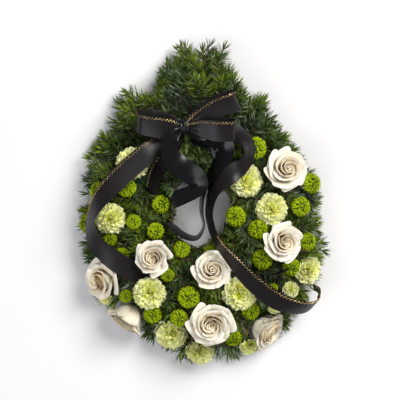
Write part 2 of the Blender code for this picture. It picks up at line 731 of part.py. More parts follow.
def reach(direction):
    """How far foliage reaches from REACH_CENTRE in a direction, in degrees."""
    far = SIDE_REACH
    for middle, width, height in REACH_BUMPS:
        off = (direction - middle + 180) % 360 - 180
        far += height * math.exp(-((off / width) ** 2))
    return far


def outline_distance(start, heading):
    """How far a twig can run level from a point in a heading before it leaves the foliage's outline."""
    centre = Vector((*REACH_CENTRE, 0))
    run = 10.0
    while run < 200:
        from_centre = start + heading * run - centre
        direction = math.degrees(math.atan2(from_centre.y, from_centre.x))
        if Vector((from_centre.x, from_centre.y)).length > reach(direction):
            break
        run += 4
    return run


class Surroundings:
    """What is already in place, so that a twig or needle that would cross it can be left out."""

    def __init__(self):
        self.trees = []
        self.own = []

    def add(self, thing):
        mesh = evaluated_mesh(thing)
        corners = [v.co / MM for v in mesh.vertices]
        self.trees.append(BVHTree.FromPolygons(corners, [tuple(p.vertices) for p in mesh.polygons]))
        bpy.data.meshes.remove(mesh)

    def clear_of_own(self, start, end, step=3):
        """True if a needle keeps clear of the twigs that its own spray already has."""
        span = end - start
        count = max(2, math.ceil(span.length / step))
        places = [start + span * i / count for i in range(count + 1)]
        return not any(tree.find_nearest(place, 1.6)[0] for tree in self.own for place in places)

    def clear(self, start, end, room, step=3.5):
        """True if a straight line keeps this far from everything, from the table and from the hole."""
        span = end - start
        count = max(2, math.ceil(span.length / step))
        for i in range(count + 1):
            point = start + span * i / count
            if point.z < room or in_hole(point):
                return False
            if any(tree.find_nearest(point, room + step / 2)[0] is not None for tree in self.trees):
                return False
        return True


def in_hole(point):
    """True over the middle of the wreath's hole, which stays open."""
    x, y, half_width, half_length, _ = HOLE_KEPT_CLEAR
    return ((point.x - x) / half_width) ** 2 + ((point.y - y) / half_length) ** 2 < 1


def free_marks(root, heading, length, rise, bare, around):
    """The rings of a twig, as distances along it, up to the first stretch that has no room.

    A pair of rings for each whorl of needles comes after the share of its length that is bare."""
    marks = [0.0] + [bare * length] * (bare > 0)
    while marks[-1] + WHORL_SPACING < length:
        marks += [marks[-1] + WHORL_SPACING - WHORL_WIDTH, marks[-1] + WHORL_SPACING]
    kept = [marks[0]]
    for mark in marks[1:]:
        ends = [on_spine(root, heading, length, rise, run) for run in (kept[-1], mark)]
        if not around.clear(*ends, TWIG_RADIUS + CLEARANCE):
            break
        kept.append(mark)
    # Only whole whorls are kept.
    first = 1 + (bare > 0)
    return kept[:max(1, len(kept) - (len(kept) - first) % 2)]


def on_spine(root, heading, length, rise, run):
    """A point of a twig's middle line, whose tip is bent up by rise."""
    up = heading.cross(Vector((0, 0, 1))).cross(heading).normalized()
    return root + heading * run + up * rise * (run / length) ** 2


def best_twig(root, ways, rise, around, chance, bare=0):
    """The longest twig that has room, of several ways given as a heading and a length."""
    found = []
    for heading, length in ways:
        kept = free_marks(root, heading, length, rise, bare, around)
        found.append((kept[-1], heading, length, kept))
    _, heading, length, kept = max(found, key=lambda row: row[0])
    if len(kept) < 3 + (bare > 0):
        return None
    return twig(root, heading, length, rise, kept, 1 + (bare > 0), around, chance)


def twig(root, heading, length, rise, kept, first, around, chance):
    """A slim three-sided core whose facets are drawn out into needles, whorl by whorl."""
    side = heading.cross(Vector((0, 0, 1))).normalized()
    points, rings = [], []
    for number, mark in enumerate(kept):
        spine = [on_spine(root, heading, length, rise, mark + off) for off in (-1, 0, 1)]
        along = (spine[2] - spine[0]).normalized()
        across = (side - along * side.dot(along)).normalized()
        out = along.cross(across)
        radius = TWIG_RADIUS * (1 - 0.45 * mark / length)
        turn = math.radians(30) * ((number - first) // 2)
        ring = []
        for corner in range(3):
            angle = turn + corner * 2 * math.pi / 3
            points.append(spine[1] + (across * math.cos(angle) + out * math.sin(angle)) * radius)
            ring.append(len(points) - 1)
        rings.append((ring, along, across, out, turn))
    bud = spine[1] + along * NEEDLE_LENGTH * 0.5
    points.append(bud if around.clear(spine[1], bud, CLEARANCE) else spine[1] + along)
    tip = len(points) - 1
    faces = [tuple(reversed(rings[0][0]))]
    faces += [(rings[-1][0][i], rings[-1][0][(i + 1) % 3], tip) for i in range(3)]
    for number in range(len(rings) - 1):
        low, high = rings[number], rings[number + 1]
        for corner in range(3):
            after = (corner + 1) % 3
            halves = (
                ((low[0][corner], low[0][after], high[0][after]), 1),
                ((low[0][corner], high[0][after], high[0][corner]), -1),
            )
            for half, lean in halves:
                apex = None
                if number >= first and (number - first) % 2 == 0:
                    apex = needle_tip(points, half, lean, high, corner, around, chance)
                if apex is None:
                    faces.append(half)
                else:
                    points.append(apex)
                    apex = len(points) - 1
                    faces.extend((half[i], half[(i + 1) % 3], apex) for i in range(3))
    around.own.append(BVHTree.FromPolygons(points, faces))
    return add_object("twig", points, faces, "fir")


def needle_tip(points, half, lean, ring, corner, around, chance):
    """The tip of the needle that grows from half a facet, or None where it has no room."""
    _, along, across, out, turn = ring
    middle = sum((points[i] for i in half), Vector()) / 3
    angle = turn + math.radians(60 + 120 * corner + 28 * lean)
    radial = across * math.cos(angle) + out * math.sin(angle)
    off = math.radians(NEEDLE_LEAN + chance.uniform(-4, 4))
    length = NEEDLE_LENGTH * chance.uniform(0.88, 1.05)
    heading = radial * math.sin(off) + along * math.cos(off)
    tip = middle + heading * length
    start = middle + heading * 1.5
    return tip if around.clear(start, tip, CLEARANCE) and around.clear_of_own(start, tip) else None


def branch_along_wall(outline, first, last, offset, foam):
    """A bare branch: its cut end is in the foam, and it then runs along the foam's wall."""
    count = 5
    angles = [math.radians(first + (last - first) * i / (count - 1)) for i in range(count)]
    height = Vector((0, 0, BRANCH_HEIGHT))
    outward = math.copysign(1, offset)
    path = [egg(a, outline) + egg_normal(a, outline) * offset + height for a in angles]
    start = egg(angles[0], outline) - egg_normal(angles[0], outline) * outward * STEM_DEPTH + height
    cut_hole(path[0] + (path[0] - start).normalized() * 3, start, BRANCH_RADIUS)
    return [start, *path]


def make_fir_spray(number, root_points, twigs, around):
    """One fir spray in one body: its branch and the twigs that have room."""
    branch = tube(root_points, BRANCH_RADIUS, "fir", sides=6)
    grown = [t for t in twigs if t is not None]
    around.own.clear()
    body = fuse(f"fir_spray_{number}", [branch, *grown], "fir")
    around.add(body)


def outer_spray(number, row, around, foam, chance):
    """A spray along the foam's outer wall, with twigs lying out to the outline and others standing up."""
    first, last, lying, standing = row
    path = branch_along_wall(FOAM_OUTER, first, last, BRANCH_OFFSET, foam)
    twigs = []
    for kind, count in (("lying", lying), ("standing", standing)):
        for i in range(count):
            share = (i + 0.5) / count
            root = on_path(path[1:], share)
            out = egg_normal(math.radians(first + (last - first) * share), FOAM_OUTER)
            ways = []
            for turn in (0, 14, -14, 26, -26):
                level = Matrix.Rotation(math.radians(turn + chance.uniform(-5, 5)), 3, "Z") @ out
                far = outline_distance(root, level) - NEEDLE_LENGTH * 0.6
                for climb in ((4, 12, 20) if kind == "lying" else (40, 50, 60)):
                    rise = Vector((0, 0, math.sin(math.radians(climb))))
                    heading = level * math.cos(math.radians(climb)) + rise
                    ways.append((heading, far if kind == "lying" else min(far, 78)))
            bare = BARE_SHARE if kind == "lying" else 0.25
            twigs.append(best_twig(root, ways, 8, around, chance, bare))
    make_fir_spray(number, path, twigs, around)


def top_spray(number, row, around, foam, chance):
    """A spray that stands in the foam's top, with twigs spread out between the flower stems."""
    x, y, count = row
    foot = Vector((x, y, FOAM_TOP - STEM_DEPTH))
    root = Vector((x, y, TOP_SPRAY_HEIGHT))
    cut_hole(Vector((x, y, FOAM_TOP + 4)), foot, BRANCH_RADIUS)
    twigs = []
    for i in range(count):
        ways = []
        for turn in (-24, -12, 0, 12, 24):
            angle = 2 * math.pi * i / count + math.radians(turn)
            for climb in (2, 14, 28):
                slope = math.radians(climb)
                level = Vector((math.cos(angle), math.sin(angle), 0))
                heading = level * math.cos(slope) + Vector((0, 0, math.sin(slope)))
                ways.append((heading, TOP_TWIG_LENGTH))
        start = root - Vector((0, 0, 1.5 + 2 * (i % 2)))
        twigs.append(best_twig(start, ways, 6, around, chance))
    make_fir_spray(number, [foot, root], twigs, around)


def crown_spray(number, row, around, foam, chance):
    """A spray that makes the wreath's tip, fanned out from the top of the foam."""
    x, direction, count = row
    start = Vector((x, FOAM_OUTER[1] + FOAM_OUTER[3] - 30, 32))
    heading = Vector((math.cos(math.radians(direction)), math.sin(math.radians(direction)), 0.1))
    path = [start, start + heading * 45, start + heading * 80]
    cut_hole(start + heading * 40, start, BRANCH_RADIUS)
    twigs = [best_twig(path[1], [(heading, outline_distance(path[1], heading) - 8)], 6, around, chance)]
    for i in range(count):
        turn = 1 if i % 2 else -1
        root = on_path(path[1:], 0.1 + 0.75 * i / count)
        ways = []
        for fan in (24, 34, 44):
            level = Matrix.Rotation(math.radians(turn * fan), 3, "Z") @ Vector((heading.x, heading.y, 0))
            for climb in (0.05, 0.25, 0.45):
                far = outline_distance(root, level) - NEEDLE_LENGTH * 0.6
                ways.append(((level + Vector((0, 0, climb))).normalized(), far))
        twigs.append(best_twig(root, ways, 6, around, chance))
    make_fir_spray(number, path, twigs, around)


def on_path(path, share):
    """The point some share of the way along a path, by its corners."""
    place = share * (len(path) - 1)
    index = min(int(place), len(path) - 2)
    return path[index].lerp(path[index + 1], place - index)


def cut_foam(foam_object):
    """Cuts every stem's hole in the foam."""
    holes = foam_object.modifiers.new("stem_holes", "BOOLEAN")
    holes.operation = "DIFFERENCE"
    holes.operand_type = "COLLECTION"
    holes.collection = CUTTERS
    holes.solver = "EXACT"


def main():
    chance = random.Random(SEED)
    make_tray()
    foam_object = make_foam()
    mesh = evaluated_mesh(foam_object)
    foam = BVHTree.FromPolygons([v.co for v in mesh.vertices], [tuple(p.vertices) for p in mesh.polygons])
    for number, row in enumerate(ROSES, 1):
        make_rose(number, row, foam)
    for number, row in enumerate(CARNATIONS, 1):
        make_carnation(number, row, foam)
    for number, row in enumerate(MUM_SPRAYS, 1):
        make_mum_spray(number, row, foam)
    bow = make_bow(foam)
    around = Surroundings()
    around.add(bow)
    for name, rows in RIBBONS.items():
        ribbon(name, start_at_knot(rows, around.trees[0]))
    around.trees.clear()
    for thing in list(WREATH.objects):
        around.add(thing)
    number = 0
    for make, rows in ((crown_spray, CROWN_SPRAYS), (outer_spray, OUTER_SPRAYS), (top_spray, TOP_SPRAYS)):
        for row in rows:
            number += 1
            make(number, row, around, foam, chance)
    cut_foam(foam_object)


main()
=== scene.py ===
"""The looks of a teardrop funeral wreath: fir, white roses, pale green carnations, green button
chrysanthemums and a black satin bow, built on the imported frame. Lengths are in millimetres until
a mesh is made."""

import math

import bpy
import numpy as np
from mathutils import Matrix, Vector
from mathutils.bvhtree import BVHTree


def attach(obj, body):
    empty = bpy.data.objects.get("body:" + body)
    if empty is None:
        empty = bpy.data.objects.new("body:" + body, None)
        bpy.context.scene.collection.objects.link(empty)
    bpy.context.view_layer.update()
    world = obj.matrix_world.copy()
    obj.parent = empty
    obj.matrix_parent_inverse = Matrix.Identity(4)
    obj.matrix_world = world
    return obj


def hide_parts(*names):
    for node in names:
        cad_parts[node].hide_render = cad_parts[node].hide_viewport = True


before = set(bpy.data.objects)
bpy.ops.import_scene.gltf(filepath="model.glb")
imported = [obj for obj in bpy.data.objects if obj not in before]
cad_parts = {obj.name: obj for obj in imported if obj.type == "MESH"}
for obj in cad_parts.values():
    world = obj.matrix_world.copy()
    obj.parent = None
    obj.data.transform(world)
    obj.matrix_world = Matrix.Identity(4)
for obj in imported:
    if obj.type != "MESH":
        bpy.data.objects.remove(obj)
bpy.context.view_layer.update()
MM = 0.001
SEED = 5

# The places below are those of the part's source. An egg outline is its centre x and y, half its
# width, half its length, and how much it narrows to the tip. A stem goes straight down from its head if
# that leads into the foam above the lowest end, and else bends towards the target height in its middle.
FOAM_OUTER = (0, -20, 150, 196, 0.13)
FOAM_HOLE = (2, -14, 67, 83, 0.05)
FOAM_BOTTOM, FOAM_TOP = 3, 52
STEM_SEARCH = 60
STEM_DEPTH = 20
STEM_LOWEST = 14
STEM_BEND = 5
STEM_TARGET_HEIGHT = 34
# The outline of the foliage, as seen in the photograph: x and y from the left side of the tip, round
# the left side and back to the tip.
OUTLINE_CENTRE = (0, -60)
OUTLINE = (
    (-23, 303), (-47, 283), (-66, 258), (-87, 234), (-88, 212), (-99, 197), (-120, 203), (-144, 205),
    (-169, 187), (-175, 160), (-181, 132), (-197, 122), (-219, 102), (-224, 61), (-228, 28), (-230, 4),
    (-231, -42), (-233, -72), (-222, -96), (-214, -140), (-197, -182), (-175, -209), (-150, -237),
    (-114, -251), (-90, -266), (-63, -281), (-45, -296), (-15, -307), (10, -292), (27, -304), (56, -288),
    (84, -282), (110, -272), (149, -239), (175, -214), (200, -179), (208, -152), (219, -129), (225, -87),
    (227, -51), (214, -12), (217, 31), (194, 78), (168, 104), (156, 122), (142, 143), (120, 176),
    (107, 205), (83, 205), (73, 210), (64, 232), (52, 250), (36, 256), (32, 293), (21, 301), (11, 284),
    (-8, 276),
)

# Roses: x, y, z of the middle of the outer rim, radius, tilt from upright, direction of the tilt, spin.
ROSES = (
    (147, 58, 92, 39, 12, 30, 10),
    (142, -72, 100, 36, 16, 0, 40),
    (-93, -100, 100, 34, 6, 200, 25),
    (14, -121, 100, 36, 10, 60, 70),
    (-188, -143, 58, 35, 40, 195, 0),
    (-139, -212, 42, 33, 80, 235, 50),
    (12, -219, 100, 42, 9, 260, 15),
    (113, -234, 48, 34, 61, 325, 20),
)
ROSE_HEIGHT = 1.12
ROSE_RIM = 0.7
ROSE_PETALS = 31
# The petals of a rose that faces up stand at this share of its radius, and their rims roll out beyond it.
ROSE_FIT = 0.9
# The petals follow one spiral from the outside in. Each row is how far along the spiral it is, then the
# rim's radius and height as shares of the head's, how far the rim curls over in degrees, the petal's
# width as an angle round the rose, and how flat it is across (1 follows its circle).
ROSE_SPIRAL = (
    (0.00, 1.00, 0.58, 132, 94, 1.60),
    (0.12, 0.98, 0.66, 120, 94, 1.55),
    (0.25, 0.87, 0.79, 106, 98, 1.42),
    (0.38, 0.73, 0.89, 92, 106, 1.28),
    (0.50, 0.60, 0.96, 76, 118, 1.15),
    (0.62, 0.49, 1.00, 60, 132, 1.06),
    (0.74, 0.38, 1.02, 50, 150, 1.00),
    (0.87, 0.24, 1.03, 40, 180, 1.00),
    (1.00, 0.09, 1.03, 30, 260, 1.00),
)
ROSE_FOOT = 2.5
ROSE_LIP = 0.075
# Petals of the heart: those with a rim inside this share of the radius stand up, and those beyond this
# share of the spiral have the heart's colour.
ROSE_UPRIGHT = 0.55
ROSE_HEART = 0.55
# The angle from one petal to the next, as in most flowers.
PETAL_TURN = 137.5
# A rose seen from its side is a closed cup. At a tilt of 80 degrees it is larger by this share, and its
# petals start this far along the spiral.
SIDE_ROSE_GROWTH = 0.20
SIDE_ROSE_CLOSED = 0.30

# Carnations: x, y, z of the middle of the head, radius, tilt, direction of the tilt, spin.
CARNATIONS = (
    (-130, 70, 84, 30, 10, 150, 0),
    (-171, -31, 74, 29, 14, 190, 20),
    (74, 38, 86, 31, 8, 20, 5),
    (122, -13, 86, 29, 10, 0, 30),
    (-100, -166, 84, 30, 12, 250, 10),
    (64, -166, 84, 31, 12, 300, 0),
    (-62, -247, 48, 31, 48, 252, 15),
    (-8, -281, 40, 27, 60, 268, 5),
    (194, -127, 52, 27, 52, 340, 25),
    (157, -160, 66, 16, 20, 320, 0),
    (-184, -178, 28, 16, 60, 215, 0),
    (84, -268, 32, 20, 66, 290, 10),
    (128, -192, 62, 13, 24, 310, 0),
)
CARNATION_HEIGHT = 0.3
# A smaller head than this has fewer petals and a thinner stem.
CARNATION_FULL = 28
CALYX_LENGTH = 17
CALYX_RADIUS = 5.5
CARNATION_STEM_RADIUS = 2.3
CARNATION_PETALS = 72
CARNATION_DOME = 0.78
RUFFLE = 0.075
RUFFLE_WAVES = 2.6

# Button chrysanthemums. Each spray: the fork, the stem's end in the foam, and its heads as x, y, z
# of the middle, radius, tilt and direction of the tilt.
MUM_SPRAYS = (
    ((92, -40, 64), (92, -40, 32), ((56, -27, 84, 18, 8, 180), (95, -50, 84, 17, 8, 200))),
    ((166, -8, 44), (130, -14, 32), ((198, 34, 56, 18, 55, 10), (176, -8, 70, 17, 30, 20))),
    ((90, 98, 64), (88, 96, 30), ((92, 97, 84, 19, 10, 60),)),
    ((160, -104, 46), (126, -92, 32), ((190, -72, 54, 16, 52, 0), (158, -120, 64, 16, 26, 290),
        (103, -104, 84, 18, 10, 220))),
    ((98, -190, 48), (82, -164, 28), ((124, -157, 64, 9, 10, 300), (84, -199, 62, 16, 20, 300),
        (52, -250, 54, 16, 48, 275))),
    ((-34, -190, 56), (-30, -184, 28), ((-28, -172, 84, 19, 8, 270), (-46, -212, 72, 16, 30, 250))),
    ((-40, -110, 60), (-42, -114, 30), ((-40, -84, 76, 15, 20, 60), (-66, -132, 74, 13, 20, 300),
        (10, -88, 66, 11, 20, 80))),
    ((-151, 18, 60), (-120, 14, 32), ((-141, 26, 74, 17, 12, 180), (-196, 20, 52, 16, 45, 170))),
    ((-105, -36, 62), (-104, -38, 32), ((-127, -36, 77, 13, 5, 0), (-76, -6, 74, 16, 42, 325),
        (-86, -54, 76, 15, 30, 330))),
    ((-166, -88, 50), (-130, -76, 32), ((-216, -40, 40, 18, 60, 180), (-171, -68, 64, 12, 10, 200),
        (-150, -98, 66, 14, 15, 210))),
    ((-96, -186, 46), (-82, -164, 30), ((-94, -206, 62, 16, 24, 262), (-143, -172, 58, 12, 20, 230))),
)
MUM_STEM_RADIUS = 1.9
MUM_MIDDLE = 0.45
# The florets' middle is this share of the radius above the head's foot.
MUM_RAISED = 0.24
# A head of at least this radius has this number of florets, and smaller ones have fewer.
MUM_FULL = 18
MUM_FLORETS = 260
FLORET_TURN = 137.508

# Ribbons: each point of a path is x, y, z, the roll about the path in degrees (0 lies flat, 90 stands
# on its edge), and the width as a share of the full width.
RIBBON_WIDTH = 38
PLEATS = 2.5
LOOP_LEAN = 20
KNOT = (-36, 134, 108)
KNOT_RADII = (14, 12, 10)
KNOT_TURN = 100
# Each band: its path, the side that has the gold thread (1 is the left as it runs), and how it is held.
BANDS = {
    "bow_loop_left": ((
        (-42, 135, 106, 0, 0.3), (-62, 137, 101, 5, 0.8), (-92, 141, 98, 5, 1), (-113, 143, 104, 5, 1),
        (-118, 142, 113, 5, 1), (-108, 139, 121, 5, 1), (-82, 136, 124, 0, 1), (-58, 135, 119, 0, 0.8),
        (-42, 134, 112, 0, 0.3)), -1, "folded"),
    "bow_loop_right_back": ((
        (-31, 137, 106, 0, 0.3), (-14, 148, 100, 0, 0.7), (14, 164, 99, 0, 0.9), (46, 178, 104, 0, 1),
        (57, 180, 112, 0, 1), (46, 177, 120, 0, 1), (16, 167, 119, 0, 0.9), (-12, 149, 114, 0, 0.7),
        (-31, 137, 111, 0, 0.3)), 1, "folded"),
    "bow_loop_right_front": ((
        (-29, 134, 106, 0, 0.3), (-8, 133, 108, 0, 0.8), (22, 131, 110, 0, 0.95), (44, 131, 113, 0, 0.95),
        (54, 131, 122, 0, 0.95), (46, 131, 131, 0, 1), (22, 132, 134, 0, 1), (-6, 134, 124, 0, 0.8),
        (-29, 134, 113, 0, 0.3)), 1, "folded"),
    "bow_tail_short": ((
        (-38, 130, 104, 0, 0.3), (-46, 112, 80, 20, 0.5), (-70, 82, 70, 30, 0.8), (-88, 50, 69, 40, 0.9),
        (-97, 16, 68, 45, 0.9)), -1, "hung"),
    "ribbon_curl_left": ((
        (-44, 122, 116, -10, 0.25), (-54, 111, 126, -35, 0.8), (-61, 92, 128, -40, 1),
        (-54, 73, 120, -20, 1), (-36, 57, 111, 0, 1), (-18, 44, 106, 10, 1), (-10, 30, 104, 20, 0.9),
        (-20, 18, 99, 30, 0.8), (-38, 10, 92, 20, 0.8), (-58, 2, 86, 10, 0.8)), 0, "hung"),
    "ribbon_curl_right": ((
        (-26, 121, 103, 0, 0.25), (2, 114, 100, 5, 0.6), (30, 106, 94, 20, 0.8), (39, 92, 91, 30, 0.9),
        (27, 66, 84, 35, 0.9), (8, 40, 79, 62, 0.85), (-4, 13, 78, 74, 0.9), (-6, -18, 74, 76, 0.8),
        (-2, -44, 72, 80, 0.8), (-14, -64, 72, 74, 0.8), (-35, -61, 72, 68, 0.8), (-54, -46, 72, 70, 0.8),
        (-66, -32, 70, 76, 0.7)), 0, "hung"),
    "ribbon_tail_left": ((
        (-46, 123, 98, 0, 0.25), (-74, 106, 93, 0, 0.8), (-104, 84, 103, 0, 1), (-150, 44, 106, 5, 1),
        (-186, 6, 98, 35, 1), (-205, -34, 88, 62, 1), (-196, -72, 90, 40, 1), (-160, -106, 88, 15, 1),
        (-126, -124, 76, 0, 0.9), (-100, -134, 64, 0, 0.7)), -1, "draped"),
    "ribbon_tail_inner": ((
        (-26, 124, 94, 0, 0.25), (-14, 110, 82, 0, 0.5), (14, 106, 76, 0, 0.6), (28, 80, 73, 0, 0.7),
        (20, 36, 71, 40, 0.75), (8, 2, 71, 66, 0.8), (8, -30, 72, 70, 0.8), (18, -62, 82, 76, 0.75),
        (38, -88, 90, 82, 0.7), (60, -110, 94, 80, 0.65), (92, -127, 94, 78, 0.65),
        (124, -130, 92, 78, 0.55), (150, -121, 88, 80, 0.45)), 0, "draped"),
    "ribbon_tail_right": ((
        (-28, 134, 96, 0, 0.25), (-10, 138, 88, 0, 0.6), (16, 139, 88, 0, 0.8), (58, 122, 87, -8, 0.8),
        (80, 97, 105, -42, 0.75), (73, 68, 113, -38, 0.75), (44, 46, 116, 18, 0.85), (20, 22, 111, 60, 1),
        (8, -10, 108, 68, 1), (10, -40, 109, 70, 1), (24, -74, 115, 66, 1), (56, -112, 124, 48, 1),
        (88, -146, 117, 35, 1), (132, -178, 104, 30, 1), (176, -190, 92, 50, 1), (202, -180, 82, 80, 1),
        (206, -162, 74, 100, 0.9), (196, -152, 66, 110, 0.7)), 1, "draped"),
}
# A tail shows its gold edge only between these shares of its length: elsewhere it is turned over.
GOLD_RUN = {"ribbon_tail_left": (0, 0.58), "ribbon_tail_right": (0.57, 1)}
GOLD_INSET = 4.2
GOLD_SWING = 2.2
GOLD_PITCH = 6.4
GOLD_RADIUS = 0.62
GOLD_LIFT = 0.72

# Fir: each piece stands for one spray of the frame. Directions are in degrees round the foam.
NEEDLE_LENGTH = 27
NEEDLE_WIDTH = 2.9
NEEDLE_SPACING = 1.2
TWIG_RADIUS = 1.7
# A twig's points are this far apart, and a twig with fewer points than the least is left out.
TWIG_STEP = 3.0
TWIG_LEAST = 5
# Needles lean from the twig by these degrees, and those of the bud at its end by less.
NEEDLE_LEAN = (42, 66)
BUD_NEEDLES = 7
BUD_LEAN = (8, 34)
# The balls that keep fir out of the heads: half the width, the bottom and the top, as shares of the
# head's radius. A rose's ball begins this far below its foot instead.
CARNATION_BALL = (1.03, -0.25, 0.95)
MUM_BALL = (1.1, -0.35, 1.05)
ROSE_BALL_BOTTOM = -2
# How near twigs and needles come to a head: the square of the distance in radii of its ball.
TWIG_ROOM = 1.05
NEEDLE_ROOM = 0.97
# Twigs keep this far from a ribbon, needles this near to one are tested for going through it, and neither
# grows within this height above one.
RIBBON_ROOM = 2.5
RIBBON_NEAR = 14
RIBBON_ABOVE = 70
UP = np.array((0, 0, 1.0))
# The open part of the hole inside the fir's fringe: its middle, half its width and half its length.
HOLE_FRINGE = (-8, -16, 47, 61)
# Rows of twigs on the foam, from its hole to its outer side: the place as a share of the way, and the
# least and greatest climb in degrees.
TOP_ROWS = (
    (0.04, (2, 30)), (0.12, (40, 75)), (0.3, (8, 40)), (0.5, (20, 70)), (0.68, (8, 40)), (0.9, (10, 50)),
)
TOP_STEP = 5.5
TOP_TWIG = (26, 60)
# Rows of twigs out of the foam's outer side: height, climb in degrees, degrees from one twig to the
# next, and the reach as a share of the way to the foliage's outline.
OUTER_ROWS = ((11, 1, 4.6, 1.02), (20, 7, 5.2, 1.0), (30, 14, 6.0, 0.95), (42, 26, 6.8, 0.84))
# Rows of twigs at the tip, from the lowest up: climb, and each twig's direction from the row's middle.
CROWN_ROWS = (
    (2, (-46, -30, -16, -10, 0, 14, 28, 44)),
    (10, (-52, -36, -20, -13, -6, 8, 22, 38, 52)),
    (20, (-44, -26, -10, 6, 24, 40)),
    (30, (-34, -16, 0, 16, 32)),
)
# Which spray grows where: from and to a direction, or for the tip's two, x and the direction.
OUTER_SPRAYS = {3: (108, 160), 4: (160, 226), 5: (226, 286), 6: (286, 342), 7: (342, 398), 8: (398, 434)}
CROWN_SPRAYS = {1: (-34, 99), 2: (22, 83)}
TOP_SPRAYS = {9: (95, 175), 10: (175, 265), 11: (265, 350), 12: (350, 455)}

# Colours from the base of a petal or needle to its edge, then the shade that is mixed in. For a needle
# they are the painted shade at its root, light, fresh, silvery and brown.
IVORY = ((0.85, 0.79, 0.61), (0.87, 0.80, 0.64), (0.89, 0.84, 0.73), (0.86, 0.77, 0.59))
HEART = ((0.74, 0.43, 0.12), (0.85, 0.66, 0.36), (0.91, 0.84, 0.68), (0.88, 0.71, 0.42))
LIME = ((0.62, 0.70, 0.010), (0.93, 0.96, 0.10), (0.99, 0.99, 0.56), (0.97, 0.99, 0.24))
VIVID = ((0.03, 0.07, 0.001), (0.20, 0.30, 0.002), (0.49, 0.62, 0.007), (0.20, 0.30, 0.002))
FIR_TOP = ((0.005, 0.012, 0.002), (0.046, 0.096, 0.009), (0.19, 0.28, 0.013), (0.10, 0.15, 0.07),
           (0.18, 0.13, 0.03))
FIR_UNDER = ((0.03, 0.05, 0.02), (0.13, 0.19, 0.08), (0.20, 0.28, 0.06), (0.19, 0.25, 0.17),
             (0.20, 0.17, 0.08))
SATIN = (0.004, 0.004, 0.005)
MATTE = (0.010, 0.008, 0.009)
# Finishes in two cloudy colours: roughness, the noise (scale, detail and its two stops), the colours at
# these stops, the bump (scale, detail, strength and distance), and other values of the shader.
GREEN_NOISE, GREEN_BUMP = (80, 3, 0.3, 0.7), (400, 2, 0.2, 0.0003)
LEAFY = {"Subsurface_Weight": 0.1, "Subsurface_Scale": 0.002}
CLOUDY = {
    "stem_green": (0.5, GREEN_NOISE, (0.05, 0.14, 0.02), (0.13, 0.26, 0.05), GREEN_BUMP, LEAFY),
    "mum_heart": (0.5, GREEN_NOISE, (0.04, 0.08, 0.003), (0.12, 0.19, 0.008), GREEN_BUMP, LEAFY),
    "rose_stem_green": (0.5, GREEN_NOISE, (0.03, 0.09, 0.015), (0.10, 0.19, 0.04), GREEN_BUMP, LEAFY),
    "fir_bark": (
        0.75, (160, 4, 0.3, 0.7), (0.09, 0.055, 0.03), (0.27, 0.16, 0.10), (300, 4, 0.5, 0.0006), {}),
    # The bright and dull spots in the gold thread's colour are painted glints.
    "gold_thread": (
        0.34, (400, 2, 0.42, 0.55), (0.35, 0.20, 0.05), (1.0, 0.78, 0.36), (1500, 1, 0.5, 0.0002),
        {"Metallic": 1.0}),
    "foam_cells": (
        0.9, (500, 3, 0.3, 0.7), (0.010, 0.03, 0.012), (0.03, 0.08, 0.03), (900, 3, 0.8, 0.0008), {}),
    "tray_moulded": (
        0.5, (40, 2, 0.3, 0.7), (0.012, 0.02, 0.012), (0.018, 0.028, 0.018), (1200, 2, 0.15, 0.0002), {}),
}

# The picture is this wide at the height of the flowers, and its middle is at this x and y.
PICTURE_WIDTH = 720
PICTURE_MIDDLE = (-8, 3)
PICTURE_PLANE = 70
CAMERA_HEIGHT = 2400
SENSOR = 36
FLOOR_HALF = 6000.0
FLOOR_WHITE = ((0.835, 0.83, 0.845), (0.845, 0.84, 0.855))
ROOM_COLOUR = (0.95, 0.95, 1.0, 1)
ROOM_STRENGTH = 0.17
# Each light: its name, place and size in metres, power in watts, and colour. All face the middle.
LIGHTS = (
    ("key", (1.8, 1.6, 2.8), 2.0, 149, (1.0, 0.985, 0.95)),
    ("fill", (-1.9, -1.3, 2.4), 2.0, 36, (0.95, 0.95, 1.0)),
    ("top", (-0.3, -0.7, 3.2), 1.4, 15, (1.0, 1.0, 1.0)),
)


